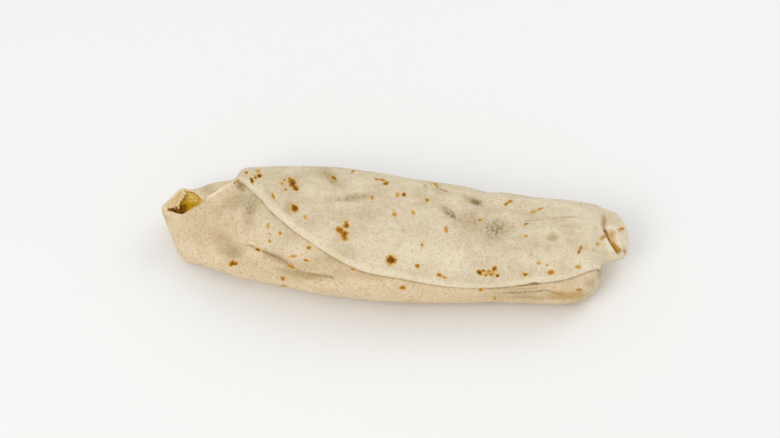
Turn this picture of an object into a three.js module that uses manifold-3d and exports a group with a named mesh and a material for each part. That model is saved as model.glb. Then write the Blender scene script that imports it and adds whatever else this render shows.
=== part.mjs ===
// A breakfast burrito: one wheat tortilla rolled round scrambled egg and sausage.
//
// The tortilla is one sheet. Its front half is folded up over the filling, its back half
// is laid over that and ends in a curved edge low on the front, and both ends are tucked
// in. The left tuck leaves a small mouth on top, where the filling shows.
//
// Units are millimetres. +X runs along the roll, -Y is the front, +Z is up, and the origin
// is the middle of the roll's box at the surface that it lies on.

import * as THREE from 'three';
import { mergeVertices } from 'three/addons/utils/BufferGeometryUtils.js';
import Module from 'manifold-3d';

const wasm = await Module();
wasm.setup();

// ---------------------------------------------------------------------------
// Driving dimensions
// ---------------------------------------------------------------------------

const SHEET = 1.8; // thickness of the tortilla
const GAP = 0.35; // air between the tortilla and the filling
const SINK = 0.6; // depth of roundness pressed flat underneath
const ARC = 0.4; // length of skin that one degree of turn covers, for the folds

const AROUND = 48; // facets round the roll
const RING_PITCH = 6.5; // spacing of its sections
const PLAY = 0.001; // spacing under which vertices are one
const SLIVER = 0.02; // slimmest facet that a cut may leave

// Sections of the roll, from the mouth's rim to the right end. x: the middle; lean: how
// much further right the top stands than the underside; top, low: their heights; half:
// half the width; y: the middle across; edge: angle of the sheet's free edge, from 0 at
// the front to 90 on top; step: how far the back half of the sheet stands above the front
// half there; skew: how far the top shifts across for each millimetre of its height;
// square: exponent of the superellipse, 2 for an ellipse and 1 for a diamond. PLAIN gives
// what a row leaves out. The first few rows lean over to the left, so that the roll ends
// in a mouth on top.
const PLAIN = { lean: 0, low: -SINK, step: SHEET, skew: 0, square: 2.3 };
const ROLL = [
  {
    x: -75.7, lean: 14.2, top: 17.9, low: 15.4, half: 7.8, y: 7.1,
    edge: 87, step: -SHEET, skew: 0.3, square: 1.42,
  },
  {
    x: -75.3, lean: 14.5, top: 17.9, low: 12.5, half: 8.5, y: 6.7,
    edge: 90, step: -SHEET, skew: 0.27, square: 1.7,
  },
  {
    x: -73.2, lean: 13.7, top: 18.1, low: 6.3, half: 11.3, y: 6.1,
    edge: 102, step: -SHEET, skew: 0.18, square: 2.2,
  },
  {
    x: -69.9, lean: 11.4, top: 18.6, low: 0.3, half: 15.3, y: 5.1,
    edge: 106, step: -SHEET, skew: 0.06, square: 2.8,
  },
  { x: -65, lean: 6.6, top: 19.5, half: 17.6, y: 4.8, edge: 115.5, step: -SHEET, square: 2.5 },
  { x: -60, lean: 3, top: 20.8, half: 19.5, y: 4.2, edge: 125, step: -SHEET },
  { x: -58.4, lean: 2, top: 21.4, half: 19.9, y: 3.9, edge: 124, step: -0.4 },
  { x: -57, lean: 1.2, top: 21.8, half: 20.2, y: 3.5, edge: 118, step: 1.1 },
  { x: -54.5, lean: 0.6, top: 22.6, half: 20.6, y: 3.1, edge: 113 },
  { x: -50, top: 23.9, half: 21.4, y: 2.5, edge: 100 },
  { x: -40, top: 26.0, half: 22.5, y: 1.5, edge: 77.5 },
  { x: -25, top: 27.2, half: 24.0, y: 0.6, edge: 53 },
  { x: -10, top: 27.5, half: 24.5, y: -0.2, edge: 33.5 },
  { x: 5, top: 27.2, half: 23.4, y: -0.8, edge: 26 },
  { x: 20, top: 26.6, half: 22.4, y: -0.7, edge: 17.5 },
  { x: 35, top: 25.4, half: 20.7, y: 0.0, edge: 15.5 },
  { x: 50, top: 24.2, half: 19.8, y: 0.3, edge: 26 },
  { x: 60, top: 23.3, half: 19.4, y: 0.7, edge: 33.5 },
  { x: 66, lean: -0.4, top: 21.9, half: 18.3, y: 1.9, edge: 37.5 },
  { x: 69.6, lean: -1.0, top: 20.8, half: 16.8, y: 3.4, edge: 37 },
  { x: 72.2, lean: -1.4, top: 19.4, low: 0.0, half: 13.4, y: 6.4, edge: 24, step: 1.5 },
  { x: 73.2, lean: 1.4, top: 18.6, low: 5.6, half: 10.3, y: 9.1, edge: -16, step: 1.0 },
  { x: 77.8, top: 17.1, low: 6.6, half: 8.7, y: 9.1, edge: -16, step: 0.3 },
  { x: 81.0, top: 14.4, low: 7.5, half: 5.1, y: 8.0, edge: -15, step: 0.1 },
  { x: 81.7, top: 11.6, low: 10.2, half: 0.6, y: 7.8, edge: -15, step: 0.05 },
].map((row) => ({ ...PLAIN, ...row }));

// The sheet's free edge, which is rounded like the edge of any tortilla. turns: angles of
// the facets round it; pitch: how far each is set on from the last; seat: angle of skin
// that it covers; rise, full: shares of the way round at which the upper layer starts to
// stand off the lower one and does so fully; crowd: how much the facets draw towards it.
const RIM = { turns: [50, 0, -55], pitch: 0.15, seat: 1.5, rise: 0.36, full: 0.8, crowd: 0.035 };

// Soft hollows and creases pressed in the sheet: where along the roll (x), at what angle
// round it, their reach along and round it, their turn from its direction, and depth.
const FOLDS = [
  { x: 28, angle: 118, along: 7, round: 3, turn: -35, depth: 1.3 },
  { x: -29, angle: 72, along: 16, round: 2.5, turn: 20, depth: 0.7 },
  { x: 14, angle: 92, along: 12, round: 3, turn: -25, depth: 0.8 },
  { x: -48, angle: 22, along: 14, round: 3, turn: -22, depth: 1.0 },
  { x: -33, angle: -4, along: 16, round: 2.5, turn: -20, depth: 1.1 },
  { x: 44, angle: 190, along: 18, round: 3.5, turn: 12, depth: 0.9 },
  { x: -20, angle: 200, along: 22, round: 4, turn: -10, depth: 0.9 },
];

// The tuck at the right end: a pleat that opens towards the front, cut by a wedge that
// follows the skin. at: a point of it on the skin; wide: half its opening there; deep: its
// depth. It points at its heart everywhere, and lift is how far it stands off the skin.
const PLEAT = {
  heart: [70, 8, 8],
  lift: 2,
  rows: [
    { at: [71.9, 12.3, 20.0], wide: 0.1, deep: 0.3 },
    { at: [72.6, 9.4, 20.2], wide: 0.3, deep: 1.1 },
    { at: [73.1, 6.2, 20.0], wide: 0.5, deep: 1.8 },
    { at: [74.3, 4.1, 18.8], wide: 0.7, deep: 2.4 },
    { at: [76.0, 2.6, 17.1], wide: 0.9, deep: 2.8 },
    { at: [78.4, 1.6, 14.8], wide: 1.1, deep: 2.6 },
    { at: [79.4, 1.2, 12.4], wide: 0.5, deep: 1.0 },
  ],
};

// The room inside the sheet: how far from the skin it stays at the sides, above and below,
// at the mouth and in the roll; rows: how many rows of ROLL lie between the two; last:
// where it stops on the right.
const MOUTH_WALLS = { side: 1.9, above: 0.9, below: 1.9 };
const ROLL_WALLS = { side: 4.6, above: 4.4, below: 3.2 };
const ROOM = { rows: 6, last: 66, facets: 24 };

// The curds that fill the mouth, on a floor at a level below its rim; under: how far right
// the floor reaches; spread: share of the mouth that they fill, and right: how far they
// lie towards its right side.
const CURDS = {
  count: 9,
  size: 3.1,
  squash: 0.72,
  level: 12.8,
  under: -62,
  spread: 0.8,
  right: 1.6,
  seed: 11,
};

// ---------------------------------------------------------------------------
// Loops, and the curve that runs smoothly through them
// ---------------------------------------------------------------------------

const radians = THREE.MathUtils.degToRad;

/** The loop of a row of sizes: a superellipse about its middle, leaning by its tilt. */
function loopOf({ lean, top, low, ...row }) {
  const tall = Math.hypot(lean, top - low) / 2;
  return { ...row, tall, z: (top + low) / 2, tilt: Math.atan2(lean, top - low) };
}

/** Catmull-Rom value at t between b and c, with their neighbours a and d. */
function through(a, b, c, d, t) {
  const t2 = t * t;
  const t3 = t2 * t;
  const bend = 2 * t3 - 3 * t2;
  return (bend + 1) * b - bend * c + ((t3 - 2 * t2 + t) * (c - a) + (t3 - t2) * (d - b)) / 2;
}

/** How far apart the undersides of two rows of sizes are. */
function underside(a, b) {
  return Math.hypot(b.x - a.x - (b.lean - a.lean) / 2, b.low - a.low);
}

/** The loops along some rows of sizes, a pitch or less apart. */
function loopsAlong(rows, pitch) {
  const row = (i) => rows[THREE.MathUtils.clamp(i, 0, rows.length - 1)];
  const loops = [];
  for (let k = 0; k + 1 < rows.length; k += 1) {
    const steps = Math.ceil(1 + underside(rows[k], rows[k + 1]) / pitch);
    for (let s = 0; s < steps; s += 1) {
      const blended = {};
      for (const key of Object.keys(rows[k])) {
        const [a, b, c, d] = [row(k - 1), row(k), row(k + 1), row(k + 2)].map((r) => r[key]);
        blended[key] = through(a, b, c, d, s / steps);
      }
      loops.push(loopOf(blended));
    }
  }
  loops.push(loopOf(rows.at(-1)));
  return loops;
}

/** A signed power, for superellipses. */
function bent(value, power) {
  return Math.sign(value) * Math.abs(value) ** power;
}

/** The point at an angle of a loop: 0 is the front, 90 the top, 180 the back. */
function loopPoint(loop, angle) {
  const up = loop.tall * bent(Math.sin(radians(angle)), 2 / loop.square);
  const across = loop.skew * up - loop.half * bent(Math.cos(radians(angle)), 2 / loop.square);
  return new THREE.Vector3(
    loop.x + up * Math.sin(loop.tilt),
    loop.y + across,
    loop.z + up * Math.cos(loop.tilt),
  );
}

/** Unit vectors at an angle of a loop: along the skin to the front, and out of it. */
function loopAxes(loop, angle) {
  const along = loopPoint(loop, angle - 1).sub(loopPoint(loop, angle + 1)).normalize();
  const axis = new THREE.Vector3(Math.cos(loop.tilt), 0, -Math.sin(loop.tilt));
  return { along, out: along.clone().cross(axis).normalize() };
}

/** How deep the folds press the skin in, at a place along and an angle round the roll. */
function foldDepth(x, angle) {
  let depth = 0;
  for (const fold of FOLDS) {
    const turn = radians(fold.turn);
    const run = x - fold.x;
    const arc = ARC * (THREE.MathUtils.euclideanModulo(angle - fold.angle + 180, 360) - 180);
    const lengthwise = (run * Math.cos(turn) + arc * Math.sin(turn)) / fold.along;
    const crosswise = (arc * Math.cos(turn) - run * Math.sin(turn)) / fold.round;
    depth += fold.depth * Math.exp(-(lengthwise ** 2) - crosswise ** 2);
  }
  return depth;
}

// ---------------------------------------------------------------------------
// Solids: skins over rings of points, boxes, and back to geometry
// ---------------------------------------------------------------------------

/** A geometry as a solid that can be joined and cut. */
function solid(geometry) {
  const bare = geometry.clone();
  bare.deleteAttribute('normal');
  bare.deleteAttribute('uv');
  const merged = mergeVertices(bare, PLAY);
  return new wasm.Manifold(new wasm.Mesh({
    numProp: 3,
    vertProperties: new Float32Array(merged.attributes.position.array),
    triVerts: new Uint32Array(merged.index.array),
  }));
}

/** A solid as a geometry again. */
function geometryOf(piece) {
  const { vertProperties, triVerts } = piece.getMesh();
  const geometry = new THREE.BufferGeometry();
  geometry.setAttribute('position', new THREE.BufferAttribute(vertProperties, 3));
  geometry.setIndex(new THREE.BufferAttribute(triVerts, 1));
  const flat = geometry.toNonIndexed();
  flat.computeVertexNormals();
  return flat;
}

/** The mean of some points. */
function middle(points) {
  const sum = new THREE.Vector3();
  points.forEach((point) => sum.add(point));
  return sum.divideScalar(points.length);
}

/** A closed solid over rings of points, with its first and last ring capped. */
function skin(rings) {
  const around = rings[0].length;
  const faces = [];
  for (let j = 0; j + 1 < rings.length; j += 1) {
    for (let i = 0; i < around; i += 1) {
      const a = j * around + i;
      const b = j * around + ((i + 1) % around);
      faces.push(a, b, a + around, b, b + around, a + around);
    }
  }
  const start = (rings.length - 1) * around;
  const first = start + around;
  for (let i = 0; i < around; i += 1) {
    const next = (i + 1) % around;
    faces.push(first, next, i, first + 1, start + i, start + next);
  }
  const points = [...rings.flat(), middle(rings[0]), middle(rings.at(-1))];
  const geometry = new THREE.BufferGeometry().setFromPoints(points);
  geometry.setIndex(faces);
  return solid(geometry);
}

/** A box between two corners. */
function box(low, high) {
  const size = high.map((value, i) => value - low[i]);
  const geometry = new THREE.BoxGeometry(...size);
  geometry.translate(...low.map((value, i) => value + size[i] / 2));
  return solid(geometry);
}

// ---------------------------------------------------------------------------
// The tortilla's outside
// ---------------------------------------------------------------------------

/** One ring of the skin, from under the sheet's edge right round to the edge and its rim. */
function sheetRing(loop) {
  const ring = [];
  const plain = AROUND - RIM.turns.length;
  for (let i = 0; i < plain; i += 1) {
    const share = i / (plain - 1);
    const way = share + RIM.crowd * Math.sin(2 * Math.PI * share);
    const angle = loop.edge - RIM.seat - (360 - RIM.seat) * way;
    const raised = loop.step * THREE.MathUtils.smoothstep(way, RIM.rise, RIM.full);
    const { out } = loopAxes(loop, angle);
    ring.push(loopPoint(loop, angle).addScaledVector(out, raised - foldDepth(loop.x, angle)));
  }
  const { along, out } = loopAxes(loop, loop.edge);
  const press = foldDepth(loop.x, loop.edge);
  const radius = loop.step / 2;
  RIM.turns.forEach((turn, i) => {
    const lift = radius * (1 + Math.sin(radians(turn))) - press;
    const reach = RIM.pitch * (i + 1) + radius * Math.cos(radians(turn));
    ring.push(loopPoint(loop, loop.edge).addScaledVector(out, lift).addScaledVector(along, reach));
  });
  return ring;
}

/** The outer form of the rolled sheet, before anything is cut from it. */
function rolledSheet() {
  return skin(loopsAlong(ROLL, RING_PITCH).map(sheetRing));
}

/** The wedge of air in the pleat at the right end. */
function pleatWedge() {
  const heart = new THREE.Vector3(...PLEAT.heart);
  const path = PLEAT.rows.map(({ at }) => new THREE.Vector3(...at));
  return skin(PLEAT.rows.map(({ wide, deep }, i) => {
    const [before, after] = [path[Math.max(0, i - 1)], path[Math.min(path.length - 1, i + 1)]];
    const run = after.clone().sub(before).normalize();
    const out = path[i].clone().sub(heart).projectOnPlane(run).normalize();
    const side = out.clone().cross(run).multiplyScalar(wide * (1 + PLEAT.lift / deep));
    const lip = path[i].clone().addScaledVector(out, PLEAT.lift);
    const root = path[i].clone().addScaledVector(out, -deep);
    return [lip.clone().add(side), lip.clone().sub(side), root];
  }));
}

// ---------------------------------------------------------------------------
// The room inside it, and the filling
// ---------------------------------------------------------------------------

/** A row of sizes drawn in from the skin by a share of the way from mouth to roll walls. */
function drawnIn(row, share, gap) {
  const wall = (name) => gap + THREE.MathUtils.lerp(MOUTH_WALLS[name], ROLL_WALLS[name], share);
  const long = Math.hypot(row.lean, row.top - row.low);
  const across = row.lean / long;
  const up = (row.top - row.low) / long;
  return {
    ...row,
    x: row.x + (across * (wall('below') - wall('above'))) / 2,
    lean: row.lean - across * (wall('above') + wall('below')),
    top: row.top - up * wall('above'),
    low: row.low + up * wall('below'),
    half: row.half - wall('side'),
  };
}

/** The room inside the sheet, open at the mouth and held back by a further gap. */
function room(gap) {
  const [mouth, ...deeper] = ROLL.filter(({ x }) => x <= ROOM.last)
    .map((row, i) => drawnIn(row, Math.min(1, i / ROOM.rows), gap));
  const above = { ...mouth, top: mouth.top + SHEET, low: mouth.low + SHEET };
  const loops = loopsAlong([above, ...deeper], 2 * RING_PITCH);
  const angles = Array.from({ length: ROOM.facets }, (_, i) => (-360 * i) / ROOM.facets);
  return skin(loops.map((loop) => angles.map((angle) => loopPoint(loop, angle))));
}

/** Seeded numbers from 0 to 1. */
function dice(seed) {
  let state = seed;
  return () => {
    state = (state * 16807) % 2147483647;
    return state / 2147483647;
  };
}

/** One curd of egg: a squashed, lumpy ball. */
function curd(centre, size, roll) {
  const ball = new THREE.IcosahedronGeometry(size, 1);
  ball.scale(1, 1, CURDS.squash);
  ball.rotateX(0.7 * (roll() - 0.5));
  ball.rotateZ(Math.PI * roll());
  ball.translate(centre.x, centre.y, centre.z);
  return solid(ball);
}

/** The filling: a core that runs through the roll, with curds standing in the mouth. */
function eggAndSausage() {
  const inside = room(GAP);
  const roll = dice(CURDS.seed);
  const mouth = loopOf(ROLL[0]);
  const belowMouth = box([-120, -60, -20], [CURDS.under, 60, CURDS.level]);
  const throughRoll = box([CURDS.under - 1, -60, -20], [120, 60, 60]);
  let lumps = inside.intersect(belowMouth.add(throughRoll));
  for (let i = 0; i < CURDS.count; i += 1) {
    const turn = 2.4 * i;
    const reach = CURDS.spread * Math.sqrt((i + 0.3) / CURDS.count);
    const centre = new THREE.Vector3(
      mouth.x + CURDS.right + mouth.tall * reach * Math.cos(turn),
      mouth.y + mouth.half * reach * Math.sin(turn),
      CURDS.level - 0.8 * roll(),
    );
    lumps = lumps.add(curd(centre, CURDS.size * (0.75 + 0.4 * roll()), roll));
  }
  return lumps.intersect(inside).simplify(SLIVER);
}

// ---------------------------------------------------------------------------
// The part
// ---------------------------------------------------------------------------

/** The tortilla: the rolled sheet, pressed flat below, pleated, and hollow inside. */
function tortilla() {
  const surface = box([-120, -60, -20], [120, 60, 0]);
  const cuts = surface.add(pleatWedge()).add(room(0));
  return rolledSheet().subtract(cuts).simplify(SLIVER);
}

const group = new THREE.Group();

/** Adds a named mesh to the part. */
function place(name, piece, material) {
  const mesh = new THREE.Mesh(geometryOf(piece), new THREE.MeshStandardMaterial(material));
  mesh.name = name;
  group.add(mesh);
}

place('tortilla', tortilla(), { color: 0xdccaa4, roughness: 0.78, metalness: 0 });
place('filling', eggAndSausage(), { color: 0xc9a23c, roughness: 0.5, metalness: 0 });

const bounds = new THREE.Box3().setFromObject(group);
const centre = bounds.getCenter(new THREE.Vector3());
group.position.set(-centre.x, -centre.y, -bounds.min.z);
group.updateMatrixWorld(true);

export default group;
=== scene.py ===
"""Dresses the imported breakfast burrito: the rolled tortilla, its egg and sausage, and a studio.

Lengths are in millimetres while a piece is worked out, and in metres once it is a mesh.
+X runs along the roll, -Y is its front, +Z is up. Angles round the roll are in degrees: 0 is
the front, 90 the top. What the skin shows is placed in pixels of the camera's frame.
"""

import logging
import math
from collections.abc import Sequence
from dataclasses import dataclass, fields, replace
from enum import Enum

import bmesh
import bpy
import numpy as np
from mathutils import Matrix, Vector, noise


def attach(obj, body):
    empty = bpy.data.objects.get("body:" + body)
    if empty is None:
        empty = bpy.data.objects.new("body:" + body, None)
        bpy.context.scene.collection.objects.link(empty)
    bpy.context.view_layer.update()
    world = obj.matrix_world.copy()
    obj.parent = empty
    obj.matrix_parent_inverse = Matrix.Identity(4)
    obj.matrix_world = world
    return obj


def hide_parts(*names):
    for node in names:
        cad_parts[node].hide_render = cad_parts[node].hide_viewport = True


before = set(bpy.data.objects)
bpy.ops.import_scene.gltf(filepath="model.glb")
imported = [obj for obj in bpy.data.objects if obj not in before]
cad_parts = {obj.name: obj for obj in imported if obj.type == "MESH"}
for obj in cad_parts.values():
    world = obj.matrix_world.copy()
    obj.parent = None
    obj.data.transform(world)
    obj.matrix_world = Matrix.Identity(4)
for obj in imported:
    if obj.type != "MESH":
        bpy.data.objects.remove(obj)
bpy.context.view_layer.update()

LOG = logging.getLogger("burrito")
MM = 0.001
BODY = "root"
SAME_PLACE = 1e-7  # metres under which two vertices are one
SPECK = 1e-9  # length added to a vector's, so that none is divided by nothing

Array = np.ndarray
Colour = tuple[float, float, float]
Band = tuple[float, float]
Path = tuple[tuple[float, float], ...]
Piece = bpy.types.Object
Material = bpy.types.Material


# ---- Small helpers ----


def smoothstep(value: Array, low: float, high: float) -> Array:
    """Rise smoothly from 0 at low to 1 at high."""
    t = np.clip((np.asarray(value, float) - low) / (high - low), 0.0, 1.0)
    return t * t * (3.0 - 2.0 * t)


def fading(value: Array, low: float, high: float) -> Array:
    """Fall smoothly from 1 at low to 0 at high."""
    return 1.0 - smoothstep(value, low, high)


def between(ends: Band, share: Array) -> Array:
    """Give the value that lies some share of the way from one end to the other."""
    return ends[0] + (ends[1] - ends[0]) * share


def bent(value: Array, power: float) -> Array:
    """Raise to a power and keep the sign, for superellipses."""
    return np.sign(value) * np.abs(value) ** power


@dataclass(frozen=True)
class Ripples:
    """Soft uneven swells.

    Attributes:
        height: About how high they stand.
        size: Length of one along each axis.
        seed: Shift of their noise, so that no two uses look alike.
    """

    height: float
    size: tuple[float, float, float]
    seed: float = 0.0

    def at(self, points: Array) -> Array:
        """Give their height at some points, one to a row."""
        scaled = points / np.asarray(self.size, float) + self.seed
        return self.height * np.fromiter((noise.noise(Vector(p)) for p in scaled), float, len(scaled))


# ---- Where the camera sees things ----


@dataclass(frozen=True)
class Sight:
    """The camera's place, and how points of the part fall on its frame.

    Attributes:
        width: Width of the frame, in pixels.
        height: Height of the frame, in pixels.
        scale: Millimetres to a pixel at the part.
        azimuth: How far the camera has gone round, in degrees, from straight in front.
        elevation: How far above the table it looks from, in degrees.
        distance: How far from the part it stands, in millimetres.
        right: How far right of the part's origin it aims, in millimetres across the view.
        rise: How far above the part's origin it aims, in millimetres up the view.
        sensor: Width of its sensor, in millimetres.
        clip: The nearest and the farthest that it sees, in metres.
    """

    width: int = 780
    height: int = 438
    scale: float = 0.353
    azimuth: float = 5.6
    elevation: float = 52.0
    distance: float = 1800.0
    right: float = -1.35
    rise: float = 14.87
    sensor: float = 36.0
    clip: Band = (0.05, 20.0)

    @property
    def axes(self) -> tuple[Array, Array, Array]:
        """Work out the camera's axes.

        Returns:
            Right, up and towards the camera, as unit vectors.
        """
        turn, tip = math.radians(self.azimuth), math.radians(self.elevation)
        across = np.array([math.cos(turn), math.sin(turn), 0.0])
        up = np.array([-math.sin(turn) * math.sin(tip), math.cos(turn) * math.sin(tip), math.cos(tip)])
        return across, up, np.cross(across, up)

    @property
    def aim(self) -> Array:
        """The point that the middle of the frame shows, in millimetres."""
        across, up, _ = self.axes
        return across * self.right + up * self.rise

    def on_frame(self, points: Array) -> Array:
        """Give the pixels at which the frame shows some points.

        Args:
            points: Places in millimetres, one to a row.

        Returns:
            Pixels across and down, one row for each point.
        """
        across, up, near = self.axes
        away = points - self.aim
        zoom = self.distance / (self.distance - away @ near) / self.scale
        return np.stack(
            [self.width / 2 + (away @ across) * zoom, self.height / 2 - (away @ up) * zoom], axis=1
        )

    def at_height(self, across: float, down: float, height: float) -> Array:
        """Give the point at some height that a pixel shows.

        Args:
            across: Pixels across the frame.
            down: Pixels down the frame.
            height: Height of the point, in millimetres.

        Returns:
            The point, in millimetres.
        """
        right, up, near = self.axes
        offset = right * (across - self.width / 2) - up * (down - self.height / 2)
        seat = self.aim + near * self.distance
        ray = self.aim + offset * self.scale - seat
        return seat + ray * (height - seat[2]) / ray[2]

    def make_camera(self) -> None:
        """Add the scene's camera and look through it."""
        across, up, near = self.axes
        data = bpy.data.cameras.new("camera")
        data.sensor_width = self.sensor
        data.lens = self.sensor * self.distance / (self.width * self.scale)
        data.clip_start, data.clip_end = self.clip
        camera = bpy.data.objects.new("camera", data)
        place = Matrix(np.stack([across, up, near], axis=1).tolist()).to_4x4()
        place.translation = Vector((self.aim + near * self.distance) * MM)
        camera.matrix_world = place
        bpy.context.scene.collection.objects.link(camera)
        bpy.context.scene.camera = camera


SIGHT = Sight()


# ---- The form of the roll ----


@dataclass(frozen=True)
class Section:
    """One section of the roll, in millimetres.

    Attributes:
        x: Its middle along the roll.
        lean: How much further right its top stands than its underside.
        top: Height of its top.
        low: Height of its underside.
        half: Half its width.
        y: Its middle across.
        edge: Angle of the sheet's free edge, in degrees: 0 is the front, 90 the top.
        step: How far the back half of the sheet stands above the front half there.
        skew: How far its top shifts across for each millimetre that it is tall.
        square: Its squareness: 2 is an ellipse and 1 a diamond.
    """

    x: float
    lean: float
    top: float
    low: float
    half: float
    y: float
    edge: float
    step: float
    skew: float = 0.0
    square: float = 2.3


SHEET = 1.8  # thickness of the sheet
SINK = 0.6  # how much of the round underside is pressed flat
ARC = 0.4  # length of skin that one degree round the roll covers
CENTRING = (0.39, -0.59)  # shift of the sections that brings the part's middle to the origin
RISE = (0.36, 0.8)  # shares of the way round between which the back half rises to its step
CROWD = 0.04  # share of the way round over which a tucked layer comes up to the free edge

# From the mouth's rim, over the end of the flap and the thick middle, to the nose's tip.
SECTIONS = (
    Section(-75.7, 14.2, 17.9, 15.4, 7.8, 7.1, 87, -SHEET, 0.30, 1.42),
    Section(-75.3, 14.5, 17.9, 12.5, 8.5, 6.7, 90, -SHEET, 0.27, 1.7),
    Section(-73.2, 13.7, 18.1, 6.3, 11.3, 6.1, 102, -SHEET, 0.18, 2.2),
    Section(-69.9, 11.4, 18.6, 0.3, 15.3, 5.1, 106, -SHEET, 0.06, 2.8),
    Section(-65, 6.6, 19.5, -SINK, 17.6, 4.8, 115.5, -SHEET, 0.0, 2.5),
    Section(-60, 3, 20.8, -SINK, 19.5, 4.2, 125, -SHEET),
    Section(-58.4, 2, 21.4, -SINK, 19.9, 3.9, 124, -0.4),
    Section(-57, 1.2, 21.8, -SINK, 20.2, 3.5, 118, 1.1),
    Section(-54.5, 0.6, 22.6, -SINK, 20.6, 3.1, 113, SHEET),
    Section(-50, 0, 23.9, -SINK, 21.4, 2.5, 100, SHEET),
    Section(-40, 0, 26.0, -SINK, 22.5, 1.5, 77.5, SHEET),
    Section(-25, 0, 27.2, -SINK, 24.0, 0.6, 53, SHEET),
    Section(-10, 0, 27.5, -SINK, 24.5, -0.2, 34.8, SHEET),
    Section(5, 0, 27.2, -SINK, 23.4, -0.8, 28.3, SHEET),
    Section(20, 0, 26.6, -SINK, 22.4, -0.7, 20.9, SHEET),
    Section(35, 0, 25.4, -SINK, 20.7, 0.0, 17.5, SHEET),
    Section(50, 0, 24.2, -SINK, 19.8, 0.3, 27.5, SHEET),
    Section(60, 0, 23.3, -SINK, 19.4, 0.7, 35, SHEET),
    Section(66, -0.4, 21.9, -SINK, 18.3, 1.9, 40.5, SHEET),
    Section(69.6, -1.0, 20.8, -SINK, 16.8, 3.4, 41, SHEET),
    Section(72.2, -1.4, 19.4, 0.0, 13.4, 6.4, 24, 1.5),
    Section(73.2, 1.4, 18.6, 5.6, 10.3, 9.1, -16, 1.0),
    Section(77.8, 0, 17.1, 6.6, 8.7, 9.1, -16, 0.3),
    Section(81.0, 0, 14.4, 7.5, 5.1, 8.0, -15, 0.1),
    Section(81.7, 0, 11.6, 10.2, 0.6, 7.8, -15, 0.05),
)


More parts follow.
